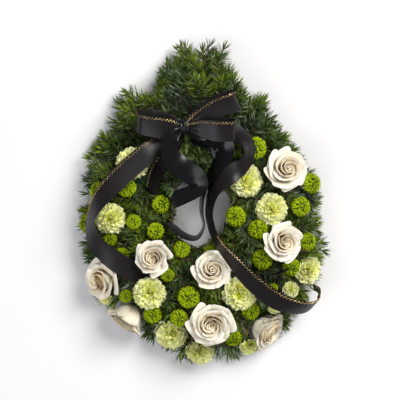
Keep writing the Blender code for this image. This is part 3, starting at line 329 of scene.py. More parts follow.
class Pile:
    """Gathers patches of mesh, each with its material number and its own map, for one object."""

    def __init__(self):
        self.points, self.maps, self.quads, self.triangles = [], [], [], []
        self.quad_slots, self.triangle_slots = [], []
        self.count = 0

    def add(self, points, mapped, quads=(), triangles=(), slot=0):
        """A patch of points, each with its place in the patch's map, and the faces between them."""
        points = np.asarray(points, float).reshape(-1, 3)
        self.points.append(points)
        self.maps.append(np.asarray(mapped, float).reshape(-1, 2))
        for kept, slots, faces, corners in (
            (self.quads, self.quad_slots, quads, 4), (self.triangles, self.triangle_slots, triangles, 3),
        ):
            faces = np.asarray(faces, int).reshape(-1, corners)
            if len(faces):
                kept.append(faces + self.count)
                slots.append(np.full(len(faces), slot))
        self.count += len(points)

    def add_grid(self, grid, slot=0, closed=False):
        """A patch from a grid of points, rows by columns. Its map runs across and along it."""
        rows, columns = grid.shape[:2]
        index = np.arange(rows * columns).reshape(rows, columns)
        if closed:
            index = np.column_stack((index, index[:, 0]))
        quads = np.stack((index[:-1, :-1], index[:-1, 1:], index[1:, 1:], index[1:, :-1]), -1)
        across, along = np.meshgrid(np.linspace(0, 1, columns), np.linspace(0, 1, rows))
        self.add(grid, np.stack((across, along), -1), quads=quads, slot=slot)

    def make(self, name, materials, smooth=True):
        """The object made of all the patches, in metres."""
        points = np.concatenate(self.points) * MM
        maps = np.concatenate(self.maps)
        groups = [g for g in ((self.quads, self.quad_slots), (self.triangles, self.triangle_slots)) if g[0]]
        corners = np.concatenate([np.concatenate(faces).ravel() for faces, _ in groups])
        sizes = np.concatenate([np.full(len(f), f.shape[1]) for faces, _ in groups for f in faces])
        slots = np.concatenate([s for _, each in groups for s in each])
        mesh = bpy.data.meshes.new(name)
        mesh.vertices.add(len(points))
        mesh.vertices.foreach_set("co", points.astype(np.float32).ravel())
        mesh.loops.add(len(corners))
        mesh.loops.foreach_set("vertex_index", corners.astype(np.int32))
        mesh.polygons.add(len(sizes))
        starts = np.concatenate(([0], np.cumsum(sizes)[:-1]))
        mesh.polygons.foreach_set("loop_start", starts.astype(np.int32))
        mesh.polygons.foreach_set("material_index", slots.astype(np.int32))
        mesh.polygons.foreach_set("use_smooth", np.full(len(sizes), smooth))
        mesh.uv_layers.new(name="map").data.foreach_set("uv", maps[corners].astype(np.float32).ravel())
        mesh.update(calc_edges=True)
        mesh.validate()
        made = bpy.data.objects.new(name, mesh)
        bpy.context.scene.collection.objects.link(made)
        for each in materials:
            mesh.materials.append(each)
        return made


def settle(piece, slot, *nodes):
    """Attaches a piece to the root and hides the nodes of the frame it stands for. Its slot, the finish it
    takes, is not used.
    """
    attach(piece, "root")
    if nodes:
        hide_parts(*nodes)
    return piece


# Materials


class Shader:
    """A material's nodes: colours mixed by textures, and a bump."""

    def __init__(self, name, roughness, **values):
        self.material = bpy.data.materials.new(name)
        self.material.use_nodes = True
        self.tree = self.material.node_tree
        self.shader = self.tree.nodes["Principled BSDF"]
        self.shader.inputs["Roughness"].default_value = roughness
        for key, value in values.items():
            self.shader.inputs[key.replace("_", " ")].default_value = value

    def node(self, kind, **values):
        made = self.tree.nodes.new("ShaderNode" + kind)
        for key, value in values.items():
            if key in made.inputs:
                made.inputs[key].default_value = value
            else:
                setattr(made, key, value)
        return made

    def link(self, start, end):
        self.tree.links.new(start, end)

    def noise(self, scale, detail):
        made = self.node("TexNoise", Scale=scale, Detail=detail)
        self.link(self.node("TexCoord").outputs["Object"], made.inputs["Vector"])
        return made.outputs["Fac"]

    def patches(self, scale, detail, none, full, low=0, high=1):
        """Grey clouds: low where the noise is below one stop, and high where it is above the other."""
        return self.ramp(self.noise(scale, detail), (none, (low,) * 3), (full, (high,) * 3))

    def map_part(self, axis):
        """How far across (X) or along (Y) its own patch a point is, from 0 to 1."""
        split = self.node("SeparateXYZ")
        self.link(self.node("UVMap", uv_map="map").outputs["UV"], split.inputs["Vector"])
        return split.outputs[axis]

    def ramp(self, fac, *stops):
        """Colours at their places between 0 and 1, blended between them."""
        made = self.node("ValToRGB")
        elements = made.color_ramp.elements
        while len(elements) < len(stops):
            elements.new(0.5)
        for element, (position, colour) in zip(elements, stops):
            element.position = position
            element.color = (*colour, 1)
        self.link(fac, made.inputs["Fac"])
        return made.outputs["Color"]

    def mix(self, fac, first, second, kind="MIX"):
        """Two colours mixed. Each value is a number, a colour or the output of another node."""
        made = self.node("Mix", data_type="RGBA", blend_type=kind)
        for value, socket in ((fac, 0), (first, 6), (second, 7)):
            if isinstance(value, (int, float)):
                made.inputs[socket].default_value = value
            elif isinstance(value, tuple):
                made.inputs[socket].default_value = (*value, 1)
            else:
                self.link(value, made.inputs[socket])
        return made.outputs[2]

    def ridges(self, factor):
        """Ridges that run along a patch, closer together for a larger factor."""
        times = self.node("Math", operation="MULTIPLY")
        times.inputs[1].default_value = factor
        self.link(self.map_part("X"), times.inputs[0])
        sine = self.node("Math", operation="SINE")
        self.link(times.outputs[0], sine.inputs[0])
        return sine.outputs[0]

    def colour(self, socket):
        self.link(socket, self.shader.inputs["Base Color"])

    def bump(self, height, strength, distance):
        made = self.node("Bump", Strength=strength, Distance=distance)
        self.link(height, made.inputs["Height"])
        self.link(made.outputs["Normal"], self.shader.inputs["Normal"])


def petal_material(name, base, middle, edge, blush, glow=0.2, depth=0.004, gloss=0.3, middle_at=0.5):
    """Petal: coloured from its base to its edge, with faint veins and cloudy shade."""
    s = Shader(name, 0.55, Subsurface_Weight=glow, Subsurface_Scale=depth, Specular_IOR_Level=gloss)
    s.shader.inputs["Subsurface Radius"].default_value = (1.0, 0.8, 0.5)
    along = s.ramp(s.map_part("Y"), (0.0, base), (middle_at, middle), (0.9, edge), (1.0, edge))
    s.colour(s.mix(s.patches(45, 3, 0.42, 0.75, high=0.7), along, blush))
    s.bump(s.ridges(90), 0.12, 0.0004)
    return s.material


def fir_material(name, root_shade, light, fresh, silver, brown):
    """Waxy needle: painted shade at the root, fresh green or silvery on some twigs, browned here and there.
    """
    s = Shader(name, 0.5, Specular_IOR_Level=0.22)
    part = s.map_part("Y")
    # Each ramp starts from painted shade where the needle meets its twig.
    along, young, pale = (
        s.ramp(part, (0.0, foot), (0.55, end), (1.0, end))
        for foot, end in ((root_shade, light), (light, fresh), (root_shade, silver)))
    varied = s.mix(s.patches(14, 2, 0.44, 0.60), along, young)
    varied = s.mix(s.patches(10, 1, 0.58, 0.66), varied, pale)
    # Small patches of painted shade and light: the needles' colour times 0.55 to 1.25.
    varied = s.mix(1.0, varied, s.patches(120, 1, 0.35, 0.65, 0.55, 1.25), "MULTIPLY")
    s.colour(s.mix(s.patches(260, 1, 0.68, 0.74), varied, brown))
    s.bump(s.ridges(12), 0.2, 0.0002)
    return s.material


def cloudy_material(name):
    """A finish from the table of those in two cloudy colours."""
    roughness, (scale, detail, low, high), first, second, bump, values = CLOUDY[name]
    s = Shader(name, roughness, **values)
    s.colour(s.ramp(s.noise(scale, detail), (low, first), (high, second)))
    s.bump(s.noise(*bump[:2]), *bump[2:])
    return s.material


def satin_material(name, colour, roughness, specular):
    """Satin ribbon: a fine weave, painted sheen for faint creases, and a woven edge."""
    s = Shader(name, roughness, Specular_IOR_Level=specular)
    edge = s.ramp(s.map_part("X"), (0.0, (1, 1, 1)), (0.04, (0, 0, 0)), (0.96, (0, 0, 0)), (1.0, (1, 1, 1)))
    # Lighter cloudy patches of the colour are painted sheen that stands for creases.
    crease_sheen = tuple(c * 1.5 for c in colour)
    s.colour(s.mix(edge, s.mix(s.noise(45, 2), colour, crease_sheen), tuple(c * 1.6 for c in colour)))
    s.bump(s.noise(600, 2), 0.12, 0.0002)
    return s.material


# Shapes shared by the flowers


def facing(x, y, z, tilt, towards, spin=0):
    """The placement of a head whose own +Z leans by tilt in the direction towards."""
    turn = Matrix.Rotation(math.radians(towards), 4, "Z")
    lean = Matrix.Rotation(math.radians(tilt), 4, "Y")
    about = Matrix.Rotation(math.radians(spin), 4, "Z")
    return Matrix.Translation((x, y, z)) @ turn @ lean @ turn.inverted() @ about


def head_place(row, sunk):
    """The placement of a flower head's foot, a share of its radius below the place in its row."""
    x, y, z, radius, *leaning = row
    return facing(x, y, z, *leaning) @ Matrix.Translation((0, 0, -sunk * radius))


def unit(rows, least=1e-9):
    """Directions at length 1. One that is shorter than the least comes out shorter than 1."""
    return rows / np.maximum(np.linalg.norm(rows, axis=-1, keepdims=True), least)


def sampled(at, places, rows):
    """Rows of an array, read between the places where they stand."""
    return np.stack([np.interp(at, places, column) for column in rows.T], -1)


def moved(place, points):
    """Points of an array, placed by a matrix."""
    m = np.array(place)
    return points @ m[:3, :3].T + m[:3, 3]


def turned(points, angle):
    """Points turned about the z axis."""
    c, s = math.cos(angle), math.sin(angle)
    return points @ np.array(((c, s, 0), (-s, c, 0), (0, 0, 1)))


def tube(pile, path, radii, sides=8, slot=0):
    """A round stem through some points, with a radius at each, closed at both ends."""
    path = np.array(path, float)
    along = unit(np.gradient(path, axis=0))
    guide = np.array((1.0, 0, 0)) if abs(along[0][0]) < 0.8 else np.array((0, 1.0, 0))
    rings = []
    for point, way, radius in zip(path, along, radii):
        side = unit(np.cross(way, guide))
        guide = np.cross(side, way)
        angles = np.linspace(0, 2 * math.pi, sides, endpoint=False)[:, None]
        rings.append(point + (side * np.cos(angles) + guide * np.sin(angles)) * radius)
    rings.insert(0, np.repeat(path[:1], sides, 0) + (rings[0] - path[0]) * 0.02)
    rings.append(np.repeat(path[-1:], sides, 0) + (rings[-1] - path[-1]) * 0.02)
    pile.add_grid(np.array(rings), slot, closed=True)


def egg(angle, outline):
    """The point of an egg outline in a direction, in radians."""
    x, y, half_width, half_length, taper = outline
    across = half_width * math.cos(angle) * (1 - taper * math.sin(angle))
    return Vector((x + across, y + half_length * math.sin(angle), 0))


def in_egg(point, outline):
    """True inside an egg outline."""
    x, y, half_width, half_length, taper = outline
    up = (point.y - y) / half_length
    across = (point.x - x) / (half_width * (1 - taper * up))
    return across ** 2 + up ** 2 < 1


def stem_path(place, base):
    """The way of a stem from a head's base down into the foam, as the part's source has it."""
    start = place @ Vector((0, 0, base))
    down = (place.to_3x3() @ Vector((0, 0, -1))).normalized()
    point = start.copy()
    for _ in range(STEM_SEARCH):
        point += down
        if in_foam(point):
            end = point + down * STEM_DEPTH
            if end.z > STEM_LOWEST:
                return [end, start]
            break
    bend = start + down * STEM_BEND
    angle = math.atan2(bend.y - FOAM_OUTER[1], bend.x - FOAM_OUTER[0])
    middle = (egg(angle, FOAM_OUTER) + egg(angle, FOAM_HOLE)) / 2 + Vector((0, 0, STEM_TARGET_HEIGHT))
    way = (middle - bend).normalized()
    point = bend.copy()
    while not in_foam(point):
        point += way
    return [point + way * STEM_DEPTH, bend, start]


def in_foam(point):
    """True inside the foam ring."""
    return FOAM_BOTTOM < point.z < FOAM_TOP and in_egg(point, FOAM_OUTER) and not in_egg(point, FOAM_HOLE)


# Roses


def rose_petal(radius, share, level, curl, width, flatness, slip, rng, rows=11, columns=13):
    """One petal as a grid: its middle line is bent from its foot up and over at the rim."""
    v = np.linspace(0, 1, rows)
    # The middle line's slope, in degrees above level, at each point of its length.
    slope = np.interp(v, (0, 0.12, 0.4, 0.68, 0.82, 1), (8, 35, 74, 88, 88 - curl * 0.4, 88 - curl))
    step = np.radians((slope[1:] + slope[:-1]) / 2)
    out = np.concatenate(([0], np.cumsum(np.cos(step))))
    up = np.concatenate(([0], np.cumsum(np.sin(step))))
    rim = up.argmax()
    out = ROSE_FOOT + out * (radius * share - ROSE_FOOT) / max(out[rim], 0.1)
    beyond = out - radius * share
    out = np.where(beyond > 0, radius * share + beyond * 0.5, out)
    up = up * radius * ROSE_HEIGHT * level / up[rim]
    if share < ROSE_UPRIGHT:
        # A petal of the heart stands up and ends in a lip that all but meets the next petal.
        rim, lip = radius * share, radius * ROSE_LIP
        wall = max(rim - lip, 0.8)
        stops = (0, 0.15, 0.5, 0.82, 0.91, 1)
        out = np.interp(v, stops, (1, wall * 0.5, wall * 0.92, wall, wall + lip * 0.4, rim))
        up = np.interp(v, stops, (0, 0.07, 0.50, 0.92, 0.98, 1.0))
        up = up * radius * ROSE_HEIGHT * level
    u = np.linspace(-1, 1, columns)[:, None]
    # The edge is broad and round, and stands out to a slight point in its middle.
    reach = 1 - 0.22 * np.abs(u) ** 3 + 0.06 * np.exp(-((u / 0.2) ** 2)) * (curl > 60)
    along = reach * v
    open_part = max(0.0, min(curl / 100, 1))
    r = np.interp(along, v, out)
    h = np.interp(along, v, up)
    wide = math.radians(width / 2) * (0.35 + 0.65 * np.clip(along / 0.55, 0, 1) ** 0.8)
    bow = np.maximum(r, 2) * flatness
    theta = u * wide / flatness
    x = r - (1 - np.cos(theta)) * bow
    side = np.sin(theta) * bow
    # One side is tucked behind the petal before it, and the rim is slightly wavy.
    x = x - slip * radius * share * u * along
    wave = 0.022 * radius * np.sin(u * 3.1 + rng.uniform(0, 6)) * along ** 3 * min(1, share * 1.6)
    # The sides of an open petal's rim roll outwards and down.
    roll = 0.34 * radius * share * open_part * np.clip(np.abs(u) - 0.25, 0, 1) ** 1.4 * along ** 5
    return np.stack((x + wave + roll, side, h + wave * 0.6 - roll * 1.1), -1).transpose(1, 0, 2)


def side_on(tilt):
    """How far a rose is seen from its side: 0 for one that faces up, 1 at a tilt of 80 degrees."""
    return min(1, max(0, (tilt - 30) / 50))


def make_rose(number, row, materials, rng):
    _, _, _, radius, tilt, _, _ = row
    side = side_on(tilt)
    radius *= 1 + SIDE_ROSE_GROWTH * math.sqrt(side)
    place = head_place(row, ROSE_RIM * ROSE_HEIGHT)
    steps, *columns = np.array(ROSE_SPIRAL).T
    pile = Pile()
    petals = ROSE_PETALS + rng.integers(-4, 5)
    opened = rng.uniform(0.88, 1.14)
    closed = SIDE_ROSE_CLOSED * side
    fit = (ROSE_FIT + (1 - ROSE_FIT) * math.sqrt(side)) / np.interp(closed, steps, columns[0])
    for i in range(petals):
        far = (max(0, i + rng.uniform(-0.3, 0.3)) / (petals - 1)) ** opened
        far = closed + (1 - closed) * far
        share, level, curl, width, flatness = (np.interp(far, steps, column) for column in columns)
        share *= fit
        grid = rose_petal(
            radius, share * rng.uniform(0.95, 1.03), level * rng.uniform(0.97, 1.015),
            curl * rng.uniform(0.8, 1.12), width * rng.uniform(0.94, 1.06), flatness,
            0.13 * rng.uniform(0.7, 1.3), rng)
        angle = math.radians(i * PETAL_TURN + rng.uniform(-9, 9))
        pile.add_grid(moved(place, turned(grid, angle)), slot=int(far > ROSE_HEART))
    return settle(pile.make(f"rose_head_{number}", materials), "rose_petal", f"rose_{number}_petals")


# Carnations


def carnation_petal(radius, share, rng, rows=7, columns=21):
    """A petal from the middle of the head out to its dome, with a ruffled, toothed and bunched rim."""
    v = np.linspace(0, 1, rows)[:, None] ** 0.8
    u = np.linspace(-1, 1, columns)[None, :]
    polar = math.acos(1 - share * (1 - math.cos(math.radians(104))))
    tip = np.array((math.sin(polar), 0, CARNATION_DOME * math.cos(polar))) * radius
    tip = tip * rng.uniform(0.88, 1.03)
    along = unit(tip)
    # The petal is turned by chance about its own length, least at the head's side.
    turn = rng.normal(0, 1.0 - 0.5 * share)
    level = np.array((0, 1.0, 0))
    across = level * math.cos(turn) + np.cross(along, level) * math.sin(turn)
    face = np.cross(along, across)
    teeth = np.where(np.arange(columns) % 2, 1, -1) * rng.uniform(0.2, 1.4, columns) * 0.035
    phase, waves = rng.uniform(0, 6.28), RUFFLE_WAVES * rng.uniform(0.8, 1.25)
    curl = 0.05 * np.cos(u * math.pi * waves + phase) * v ** 4
    reach = v * (1 + teeth * v ** 6 - 0.14 * u ** 2) + curl
    ruffle = RUFFLE * v ** 3 * np.sin(u * math.pi * waves + phase)
    ruffle = ruffle + 0.4 * RUFFLE * v ** 5 * np.sin(u * math.pi * waves * 2.3 + phase * 3)
    bunch = 0.13 * v ** 2 * np.sin(u * 2.6 + phase * 2)
    wide = u * (0.05 + 0.36 * v ** 1.3) * rng.uniform(0.85, 1.15)
    return (tip * reach[..., None] + across * (wide * radius)[..., None]
            + face * ((ruffle + bunch) * radius)[..., None])


def make_carnation(number, row, petal, green, rng):
    radius, place = row[3], head_place(row, CARNATION_HEIGHT)
    pile = Pile()
    small = min(1, radius / CARNATION_FULL)
    count = int(CARNATION_PETALS * (0.5 + 0.5 * small))
    for i in range(count):
        grid = carnation_petal(radius, (i + 0.5) / count, rng)
        turn = math.radians(i * PETAL_TURN + rng.uniform(-12, 12))
        pile.add_grid(moved(place, turned(grid, turn)))
    thin = CARNATION_STEM_RADIUS * (0.5 + 0.5 * small)
    calyx = CALYX_LENGTH * small
    path = stem_path(place, -calyx)
    cup = [place @ Vector((0, 0, h)) for h in (-calyx * 0.85, -calyx * 0.5, -3, 0.12 * radius)]
    wide = [CALYX_RADIUS * small * share for share in (0.75, 0.95, 1.0, 1.25)]
    tube(pile, path + cup, [thin] * len(path) + wide, 10, slot=1)
    return settle(pile.make(f"carnation_head_{number}", [petal, green]), "carnation", f"carnation_{number}")


# Button chrysanthemums


def add_mum(pile, radius, place, rng):
    """A button head: short curved florets in a spiral over a dark heart, longer towards the rim."""
    count = int(MUM_FLORETS * (0.5 + 0.5 * min(1, radius / MUM_FULL)))
    v = np.linspace(0, 1, 4)[:, None, None]
    u = np.array((-1.0, 0.0, 1.0))[None, :, None]
    for i in range(count):
        share = (i + 0.5) / count
        polar = math.radians(2 + 108 * share ** 0.62)
        outward = np.array((math.sin(polar), 0, math.cos(polar)))
        tangent = np.array((math.cos(polar), 0, -math.sin(polar)))
        length = radius * (0.34 + 0.08 * share) * rng.uniform(0.85, 1.15)
        width = radius * (0.060 + 0.016 * share) * rng.uniform(0.85, 1.15)
        # Each bends over at its tip, so that a small bright spoon shows from above.
        lean = rng.uniform(0.5, 1.15)
        sideways = rng.normal(0, 0.9 * (1 - share) + 0.15)
        bend = tangent * math.cos(sideways) + np.array((0, 1.0, 0)) * math.sin(sideways)
        middle = outward * radius * 0.60 + (outward * np.sqrt(v) + bend * lean * v ** 2.2) * length
        spoon = width * (0.6 + 0.8 * v) * u * np.sqrt(np.clip(1.05 - v ** 5, 0, 1))
        cup = np.abs(u) * width * 0.5 * (outward - bend * lean * v)
        grid = middle + np.cross(outward, bend) * spoon + cup
        turn = i * math.radians(FLORET_TURN) + rng.uniform(-0.12, 0.12)
        grid = grid * (1, 1, 0.86) + (0, 0, MUM_RAISED * radius)
        pile.add_grid(moved(place, turned(grid, turn)))
    # The heart and the green underside.
    polar = np.linspace(0.02, math.pi * 0.93, 8)[:, None]
    angles = np.linspace(0, 2 * math.pi, 14, endpoint=False)[None, :]
    ball = np.stack((np.sin(polar) * np.cos(angles) * 0.62, np.sin(polar) * np.sin(angles) * 0.62,
                     np.cos(polar) * 0.52 * np.ones_like(angles) + MUM_RAISED), -1) * radius
    pile.add_grid(moved(place, ball)[::-1], slot=1, closed=True)


def make_mum_spray(number, row, petal, green, rng):
    fork, end, heads = row
    pile = Pile()
    tube(pile, (end, fork), (MUM_STEM_RADIUS, MUM_STEM_RADIUS), 8, slot=1)
    for head in heads:
        place = head_place(head, MUM_MIDDLE)
        add_mum(pile, head[3], place, rng)
        below = place @ Vector((0, 0, -6))
        tube(pile, (fork, below, place.translation), (1.5, 1.6, 2.4), 8, slot=1)
    return settle(pile.make(f"mum_heads_{number}", [petal, green]), "mum", f"mum_spray_{number}")


# Ribbons


def smooth_path(rows, per_span):
    """Catmull-Rom through rows of numbers."""
    rows = [np.array(row, float) for row in rows]
    padded = [2 * rows[0] - rows[1], *rows, 2 * rows[-1] - rows[-2]]
    path = []
    for a, b, c, d in zip(padded, padded[1:], padded[2:], padded[3:]):
        for t in np.arange(per_span) / per_span:
            path.append(0.5 * (2 * b + (c - a) * t + (2 * a - 5 * b + 4 * c - d) * t * t
                               + (3 * b - a - 3 * c + d) * t ** 3))
    path.append(rows[-1])
    return np.array(path)


def lean_back(rows):
    """A loop turned about its own run, so that its far side shows, and the direction across it."""
    run = (Vector(rows[len(rows) // 2][:3]) - Vector(rows[0][:3])) * Vector((1, 1, 0))
    turn = Matrix.Rotation(math.radians(math.copysign(LOOP_LEAN, run.x)), 3, run.normalized())
    pivot = Vector(rows[0][:3]) + Vector((0, 0, 4))
    leaning = [(*(pivot + turn @ (Vector(row[:3]) - pivot)), *row[3:]) for row in rows]
    return leaning, turn @ Vector((-run.y, run.x, 0)).normalized()


def band_grid(rows, across=None, columns=13, per_span=12):
    """The grid of a ribbon, with its length: it is pleated where it narrows to the knot."""
    path = smooth_path(rows, per_span)
    centres = [Vector(row[:3]) for row in path]
    s = np.linspace(-1, 1, columns)
    grid, before = [], None
    for i, (centre, row) in enumerate(zip(centres, path)):
        along = (centres[min(i + 1, len(centres) - 1)] - centres[max(i - 1, 0)]).normalized()
        level = across or Vector((-along.y, along.x, 0))
        if before is not None and not across:
            steep = 1 - min(1, level.length * 2)
            level = level + before * steep if steep > 0 else level
            level = level if level.dot(before) > 0 else -level
        level = (level - along * level.dot(along)).normalized()
        before = level
        side = Matrix.Rotation(math.radians(row[3]), 3, along) @ level
        face = along.cross(side)
        share = min(row[4], 1)
        half = RIBBON_WIDTH / 2 * share
        pleated = min(1, max(0, (0.8 - share) / 0.4))
        depth = half / (math.pi * PLEATS) * 2 * math.sqrt(max(0, 1 / share - 1)) * pleated
        lift = depth * np.sin(s * math.pi * PLEATS) - 0.9 * (s ** 2) * share
        grid.append(np.array(centre) + np.outer(s * half, side) + np.outer(lift, face))
    length = sum((b - a).length for a, b in zip(centres, centres[1:]))
    return np.array(grid), length


def gold_thread(name, grid, side, material, shown, faces):
    """The zig-zag of gold thread that is woven in along one edge of a ribbon."""
    edge, inner = (grid[:, -1], grid[:, -2]) if side > 0 else (grid[:, 0], grid[:, 1])
    inward = unit(inner - edge)
    face = np.cross(inward, unit(np.gradient(edge, axis=0)))
    runs = np.concatenate(([0], np.cumsum(np.linalg.norm(np.diff(edge, axis=0), axis=1))))
    first, last = max(GOLD_PITCH, runs[-1] * shown[0]), min(runs[-1] - GOLD_PITCH, runs[-1] * shown[1])
    marks = np.arange(first, last, GOLD_PITCH / 2)
    at, into, out = (sampled(marks, runs, rows) for rows in (edge, inward, face))
    swing = np.where(np.arange(len(marks)) % 2, GOLD_SWING, -GOLD_SWING)[:, None]
    pile = Pile()
    for shown_side in faces:
        path = at + into * (GOLD_INSET + swing) + out * shown_side * GOLD_LIFT
        tube(pile, path, [GOLD_RADIUS] * len(path), 4)
    return settle(pile.make(name, [material]), "ribbon")


def make_bands(satin, matte, gold):
    """Every band of the bow. Each is a strip of satin cut to its real length."""
    for name, (rows, side, held) in BANDS.items():
        across, faces = None, (1, -1)
        if "loop" in name:
            rows, across = lean_back(rows)
            faces = (-side,)
        start = (*KNOT, rows[0][3], 0.25)
        rows = (start, *rows, start) if across else (start, *rows)
        grid, length = band_grid(rows, across)
        pile = Pile()
        pile.add_grid(grid)
        band = pile.make(name.replace("ribbon", "band"), [satin if side == 0 else matte])
        settle(band, "ribbon", name if name.startswith("ribbon") else "bow")
        thread = []
        if side:
            shown = GOLD_RUN.get(name, (0, 1))
            thread = [gold_thread(name + "_gold", grid, side, gold, shown, faces)]


def make_knot(satin):
    """The knot: a short band gathered tight round the others, and the wire below it."""
    polar = np.linspace(0.02, math.pi - 0.02, 26)[:, None]
    angles = np.linspace(0, 2 * math.pi, 64, endpoint=False)[None, :]
    pleat = 1 + 0.11 * np.sin(angles * 9 + np.sin(polar * 3) * 1.2) * np.sin(polar) ** 0.5
    pinch = 1 + 0.10 * np.cos(polar) ** 2
    ball = np.stack((np.cos(polar) * KNOT_RADII[0] * np.ones_like(angles),
                     np.sin(polar) * np.cos(angles) * KNOT_RADII[1] * pleat * pinch,
                     np.sin(polar) * np.sin(angles) * KNOT_RADII[2] * pleat * pinch), -1)
    pile = Pile()
    pile.add_grid(turned(ball, math.radians(KNOT_TURN)) + np.array(KNOT), closed=True)
    tube(pile, (KNOT, (KNOT[0], KNOT[1], 24)), (1.2, 1.2), 8)
    return settle(pile.make("bow_knot", [satin]), "ribbon", "bow")


# Fir


class Blocked:
    """What is in the way of the fir: flower heads as squashed balls, and the ribbons as meshes."""

    def __init__(self):
        self.balls = []
        self.columns = []
        self.trees = []

    def add_ball(self, place, radius, low, high):
        """A ball that fills a head, whose own z runs from low to high."""
        squash = Matrix.Diagonal((1 / radius, 1 / radius, 2 / (high - low), 1))
        self.balls.append(squash @ Matrix.Translation((0, 0, -(low + high) / 2)) @ place.inverted())
        self.columns.append((*(place @ Vector((0, 0, (low + high) / 2))), radius * 0.9))

    def add_mesh(self, node):
        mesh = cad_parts[node].data
        corners = [v.co / MM for v in mesh.vertices]
        self.trees.append(BVHTree.FromPolygons(corners, [tuple(p.vertices) for p in mesh.polygons]))

    def free(self, points, room):
        """Which rows of an array of points lie outside every ball, and not right above a flower."""
        kept = np.ones(len(points), bool)
        for x, y, z, radius in self.columns:
            apart = np.hypot(points[:, 0] - x, points[:, 1] - y)
            kept &= (apart > radius) | (points[:, 2] < z)
        for ball in self.balls:
            local = moved(ball, points)
            kept &= (local ** 2).sum(1) > room
        return kept

    def hits(self, start, way, far):
        """True if a line of some length from a point meets a ribbon."""
        return any(tree.ray_cast(Vector(start), way, far)[0] for tree in self.trees)

    def crosses(self, start, end):
        """True if a straight line meets a ribbon."""
        span = Vector(end) - Vector(start)
        return self.hits(start, span.normalized(), span.length)

    def covers(self, point):
        """True if a ribbon lies right below a point."""
        return self.hits(point, Vector((0, 0, -1)), RIBBON_ABOVE)

    def near(self, point, room):
        """True if a ribbon lies within a distance of a point."""
        return any(tree.find_nearest(Vector(point), room)[0] for tree in self.trees)


def surroundings():
    """Every flower head and ribbon that the fir has to grow round."""
    blocked = Blocked()
    for row in ROSES:
        place, radius = head_place(row, ROSE_RIM * ROSE_HEIGHT), row[3]
        blocked.add_ball(place, radius * 1.02, ROSE_BALL_BOTTOM, radius * ROSE_HEIGHT * 1.25)
    mum_heads = [head for _, _, heads in MUM_SPRAYS for head in heads]
    for rows, sunk, ball in (
        (CARNATIONS, CARNATION_HEIGHT, CARNATION_BALL), (mum_heads, MUM_MIDDLE, MUM_BALL),
    ):
        for row in rows:
            blocked.add_ball(head_place(row, sunk), *(share * row[3] for share in ball))
    for node in ("bow", *(name for name in BANDS if name.startswith("ribbon"))):
        blocked.add_mesh(node)
    return blocked


def reach(direction):
    """How far foliage reaches from OUTLINE_CENTRE in a direction, in radians."""
    outline = np.array(OUTLINE) - OUTLINE_CENTRE
    angles = np.arctan2(outline[:, 1], outline[:, 0])
    order = np.argsort(angles)
    return np.interp(direction, angles[order], np.hypot(*outline[order].T), period=2 * math.pi)


def outline_run(start, heading):
    """How far a level line can run before it leaves the foliage's outline."""
    run = 8.0
    while run < 220:
        x = start[0] + heading[0] * run - OUTLINE_CENTRE[0]
        y = start[1] + heading[1] * run - OUTLINE_CENTRE[1]
        if math.hypot(x, y) > reach(math.atan2(y, x)):
            break
        run += 3
    return run


def over_hole(points):
    """True over the part of the hole that the fir's fringe leaves open. The fringe is uneven."""
    x, y, half_width, half_length = HOLE_FRINGE
    across, along = (points[:, 0] - x) / half_width, (points[:, 1] - y) / half_length
    angle = np.arctan2(along, across)
    edge = 1 + 0.09 * np.sin(3 * angle + 1) + 0.06 * np.sin(7 * angle) + 0.04 * np.sin(13 * angle + 2)
    return across ** 2 + along ** 2 < edge ** 2


def twig_spine(root, heading, length, droop, blocked, rng):
    """The points of a twig, as far as it runs free of flowers and ribbons."""
    heading = unit(np.array(heading, float))
    sway = unit(np.cross(heading, UP), 0.01)
    runs = np.arange(0, length, TWIG_STEP)
    t = (runs / length)[:, None]
    bend = rng.uniform(-0.10, 0.10) * length
    spine = np.array(root) + heading * runs[:, None] + sway * bend * t ** 2 + UP * droop * t ** 2
    ok = blocked.free(spine, TWIG_ROOM) & (spine[:, 2] > 5) & ~over_hole(spine)
    last = len(ok) if ok.all() else int(np.argmin(ok))
    for i in range(1, last):
        before, here = spine[i - 1], spine[i]
        if blocked.crosses(before, here) or blocked.near(here, RIBBON_ROOM) or blocked.covers(here):
            last = i
            break
    return spine[:last]


def needle_frames(spine, rng):
    """Where the needles of a twig stand: foot, middle and tip, and their own two cross directions."""
    reach_mm = (len(spine) - 1) * TWIG_STEP
    at = np.sort(rng.uniform(2, reach_mm, int(reach_mm / NEEDLE_SPACING)))
    at = np.concatenate((at, np.full(BUD_NEEDLES, reach_mm)))
    count, places = len(at), np.arange(len(spine)) * TWIG_STEP
    base, along = (sampled(at, places, rows) for rows in (spine, unit(np.gradient(spine, axis=0))))
    side = unit(np.cross(along, UP), 0.05)
    up = np.cross(side, along)
    # Needles stand to both sides and above, and lean forward; few grow below.
    turn = (rng.choice((-1, 1), count) * (rng.beta(2.2, 1.6, count) * 2.1))[:, None]
    radial = side * np.sin(turn) + up * np.cos(turn)
    lean = np.radians(rng.uniform(*NEEDLE_LEAN, count))[:, None]
    lean[-BUD_NEEDLES:] = np.radians(rng.uniform(*BUD_LEAN, BUD_NEEDLES))[:, None]
    way = radial * np.sin(lean) + along * np.cos(lean)
    tip_share = np.clip((reach_mm - at) / 25, 0, 1)[:, None]
    sizes = NEEDLE_LENGTH * rng.uniform(0.85, 1.12, count)[:, None] * (0.75 + 0.25 * tip_share)
    flat = unit(np.cross(way, radial), 0.05)
    roll = rng.normal(0, 0.5, count)[:, None]
    top = np.cross(flat, way)
    flat, top = flat * np.cos(roll) + top * np.sin(roll), top * np.cos(roll) - flat * np.sin(roll)
    middle = base + way * sizes * 0.55 - along * 0.3
    return base, middle, base + way * sizes + along * sizes * 0.05, flat, top


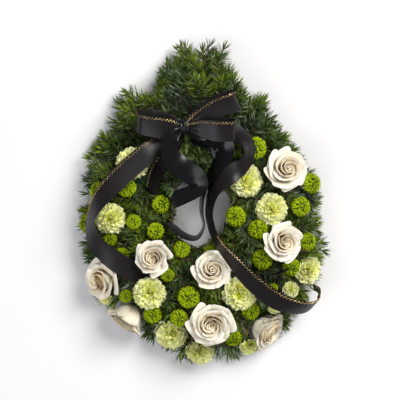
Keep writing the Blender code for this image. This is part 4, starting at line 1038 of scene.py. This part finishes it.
def grow_twig(pile, root, heading, length, droop, blocked, rng):
    """A twig with its needles, cut short where it would run into a flower or a ribbon."""
    spine = twig_spine(root, heading, length, droop, blocked, rng)
    if len(spine) < TWIG_LEAST:
        return
    tube(pile, spine, np.linspace(TWIG_RADIUS, 0.7, len(spine)), 5, slot=2)
    base, middle, tip, flat, top = needle_frames(spine, rng)
    keep = blocked.free(tip, NEEDLE_ROOM) & blocked.free(middle, NEEDLE_ROOM)
    keep &= (tip[:, 2] > 1) & ~over_hole(tip)
    for i in np.flatnonzero(keep):
        meets = blocked.near(middle[i], RIBBON_NEAR) and blocked.crosses(base[i], tip[i])
        if meets or blocked.covers(tip[i]):
            keep[i] = False
    half = NEEDLE_WIDTH / 2
    base, middle, tip, flat, top = (a[keep] for a in (base, middle, tip, flat, top))
    n = len(base)
    if not n:
        return
    # A needle has seven points: left, right and ridge at its foot and at its middle, and its tip.
    rows = np.stack((
        base - flat * half * 0.55, base + flat * half * 0.55, base + top * 0.45,
        middle - flat * half, middle + flat * half, middle + top * 0.5, tip), 1)
    start = (np.arange(n) * 7)[:, None]
    quads_top = np.concatenate((start + (0, 3, 5, 2), start + (2, 5, 4, 1)))
    ends_top = np.concatenate((start + (3, 6, 5), start + (5, 6, 4)))
    mapped = np.tile(((0, 0), (1, 0), (0.5, 0), (0, 0.55), (1, 0.55), (0.5, 0.55), (0.5, 1)), (n, 1))
    pile.add(rows, mapped, quads=quads_top, triangles=ends_top, slot=0)
    pile.add(rows, mapped, quads=start + (1, 4, 3, 0), triangles=start + (4, 6, 3), slot=1)


def level_way(degrees):
    """A level direction."""
    return np.array((math.cos(math.radians(degrees)), math.sin(math.radians(degrees)), 0))


def climbing(degrees, slope):
    """A direction that climbs from a level one, both in degrees."""
    slope = math.radians(slope)
    return level_way(degrees) * math.cos(slope) + UP * math.sin(slope)


def outward(degrees):
    """The point of the foam's outer side in a direction, and the level direction out of it, in degrees."""
    a = math.radians(degrees)
    along = egg(a + 0.01, FOAM_OUTER) - egg(a - 0.01, FOAM_OUTER)
    return egg(a, FOAM_OUTER), math.degrees(math.atan2(-along.x, along.y))


def outer_twigs(pile, first, last, blocked, rng):
    """Twigs out of the foam's outer side: some along the table, others up and over the flowers' stems."""
    for height, climb, spacing, share in OUTER_ROWS:
        for degrees in np.arange(first, last, spacing):
            point, way = outward(degrees + rng.uniform(-2, 2))
            way += rng.uniform(-24, 24)
            level = level_way(way)
            far = outline_run(point, level) * share * rng.uniform(0.93, 1.05) - NEEDLE_LENGTH * 0.7
            heading = climbing(way, climb + rng.uniform(-4, 6))
            root = np.array((point.x, point.y, height)) - level * 6
            grow_twig(pile, root, heading, max(far + 6, 30), -far * 0.05, blocked, rng)


def top_twigs(pile, first, last, blocked, rng):
    """Twigs out of the foam's top and the side of the hole, between the flowers' stems."""
    for degrees in np.arange(first, last, TOP_STEP):
        for share, climbs in TOP_ROWS:
            angle = math.radians(degrees + rng.uniform(-3, 3))
            root = egg(angle, FOAM_HOLE).lerp(egg(angle, FOAM_OUTER), share + rng.uniform(-0.07, 0.07))
            _, away = outward(degrees)
            way = away + rng.uniform(-180, 180) if share > 0.1 else away + 180 + rng.uniform(-70, 70)
            heading = climbing(way, rng.uniform(*climbs))
            root = (root.x, root.y, FOAM_TOP - 3)
            grow_twig(pile, root, heading, rng.uniform(*TOP_TWIG), -4, blocked, rng)


def crown_twigs(pile, x, direction, blocked, rng):
    """The tuft at the wreath's tip."""
    y = FOAM_OUTER[1] + FOAM_OUTER[3] - 26
    for level, (climb, fans) in enumerate(CROWN_ROWS):
        for fan in fans:
            way = direction + fan + rng.uniform(-5, 5)
            root = np.array((x + rng.uniform(-16, 16), y - rng.uniform(0, 14), 22 + level * 8))
            run = outline_run(root, level_way(way)) * rng.uniform(0.92, 1.06) * (1 - 0.09 * level)
            heading = climbing(way, climb + rng.uniform(-3, 5))
            grow_twig(pile, root, heading, run - NEEDLE_LENGTH * 0.45, -6, blocked, rng)


def make_fir(blocked, rng):
    materials = [
        fir_material("fir_needle", *FIR_TOP),
        fir_material("fir_needle_under", *FIR_UNDER),
        cloudy_material("fir_bark"),
    ]
    kinds = ((CROWN_SPRAYS, crown_twigs), (OUTER_SPRAYS, outer_twigs), (TOP_SPRAYS, top_twigs))
    for sprays, grow in kinds:
        for number, row in sprays.items():
            pile = Pile()
            grow(pile, *row, blocked, rng)
            branches = pile.make(f"fir_branches_{number}", materials, smooth=False)
            settle(branches, "fir", f"fir_spray_{number}")


def finish_frame_nodes():
    """Materials for the pieces that are shown as the frame has them."""
    stem = cloudy_material("rose_stem_green")
    finishes = {f"rose_{number}_stem": stem for number in range(1, len(ROSES) + 1)}
    finishes["base_tray"] = cloudy_material("tray_moulded")
    finishes["foam_ring"] = cloudy_material("foam_cells")
    for name, material in finishes.items():
        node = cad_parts[name]
        node.data.materials.clear()
        node.data.materials.append(material)


def make_floor():
    """A wide floor in a plain near-white."""
    pile = Pile()
    side = np.array((-FLOOR_HALF, FLOOR_HALF))
    grid = np.stack(np.meshgrid(side, side), -1)
    pile.add_grid(np.dstack((grid, np.zeros((2, 2)))))
    white = Shader("floor_white", 0.9)
    first, second = FLOOR_WHITE
    white.colour(white.ramp(white.noise(3, 1), (0.0, first), (1.0, second)))
    pile.make("floor", [white.material])


def make_lights(scene):
    """A pale room and three soft lights, the strongest from the upper right."""
    world = bpy.data.worlds.new("room")
    world.use_nodes = True
    room = world.node_tree.nodes["Background"].inputs
    room["Color"].default_value, room["Strength"].default_value = ROOM_COLOUR, ROOM_STRENGTH
    scene.world = world
    for name, place, size, power, colour in LIGHTS:
        light = bpy.data.lights.new(name, "AREA")
        light.size, light.energy, light.color = size, power, colour
        lamp = bpy.data.objects.new(name, light)
        lamp.location = place
        lamp.rotation_euler = (-Vector(place)).to_track_quat("-Z", "Y").to_euler()
        scene.collection.objects.link(lamp)
    scene.view_settings.view_transform = "Standard"


def make_camera(scene):
    """The camera, straight above."""
    camera = bpy.data.objects.new("camera", bpy.data.cameras.new("camera"))
    camera.location = (PICTURE_MIDDLE[0] * MM, PICTURE_MIDDLE[1] * MM, CAMERA_HEIGHT * MM)
    camera.data.sensor_width = SENSOR
    camera.data.lens = SENSOR * (CAMERA_HEIGHT - PICTURE_PLANE) / PICTURE_WIDTH
    scene.collection.objects.link(camera)
    scene.camera = camera


def main():
    rng = np.random.default_rng(SEED)
    ivory = [
        petal_material("rose_ivory", *IVORY, glow=0.35),
        petal_material("rose_heart", *HEART, glow=0.4, middle_at=0.75),
    ]
    lime = petal_material("carnation_lime", *LIME, glow=0.45, depth=0.005, gloss=0.15)
    vivid = petal_material("mum_green", *VIVID, gloss=0.1, middle_at=0.4)
    stem, heart = cloudy_material("stem_green"), cloudy_material("mum_heart")
    for number, row in enumerate(ROSES, 1):
        make_rose(number, row, ivory, rng)
    for number, row in enumerate(CARNATIONS, 1):
        make_carnation(number, row, lime, stem, rng)
    for number, row in enumerate(MUM_SPRAYS, 1):
        make_mum_spray(number, row, vivid, heart, rng)
    satin = satin_material("ribbon_satin", SATIN, 0.22, 0.34)
    matte = satin_material("ribbon_matte", MATTE, 0.36, 0.26)
    make_knot(satin)
    make_bands(satin, matte, cloudy_material("gold_thread"))
    make_fir(surroundings(), rng)
    finish_frame_nodes()
    make_floor()
    make_lights(bpy.context.scene)
    make_camera(bpy.context.scene)


main()
bpy.context.view_layer.update()
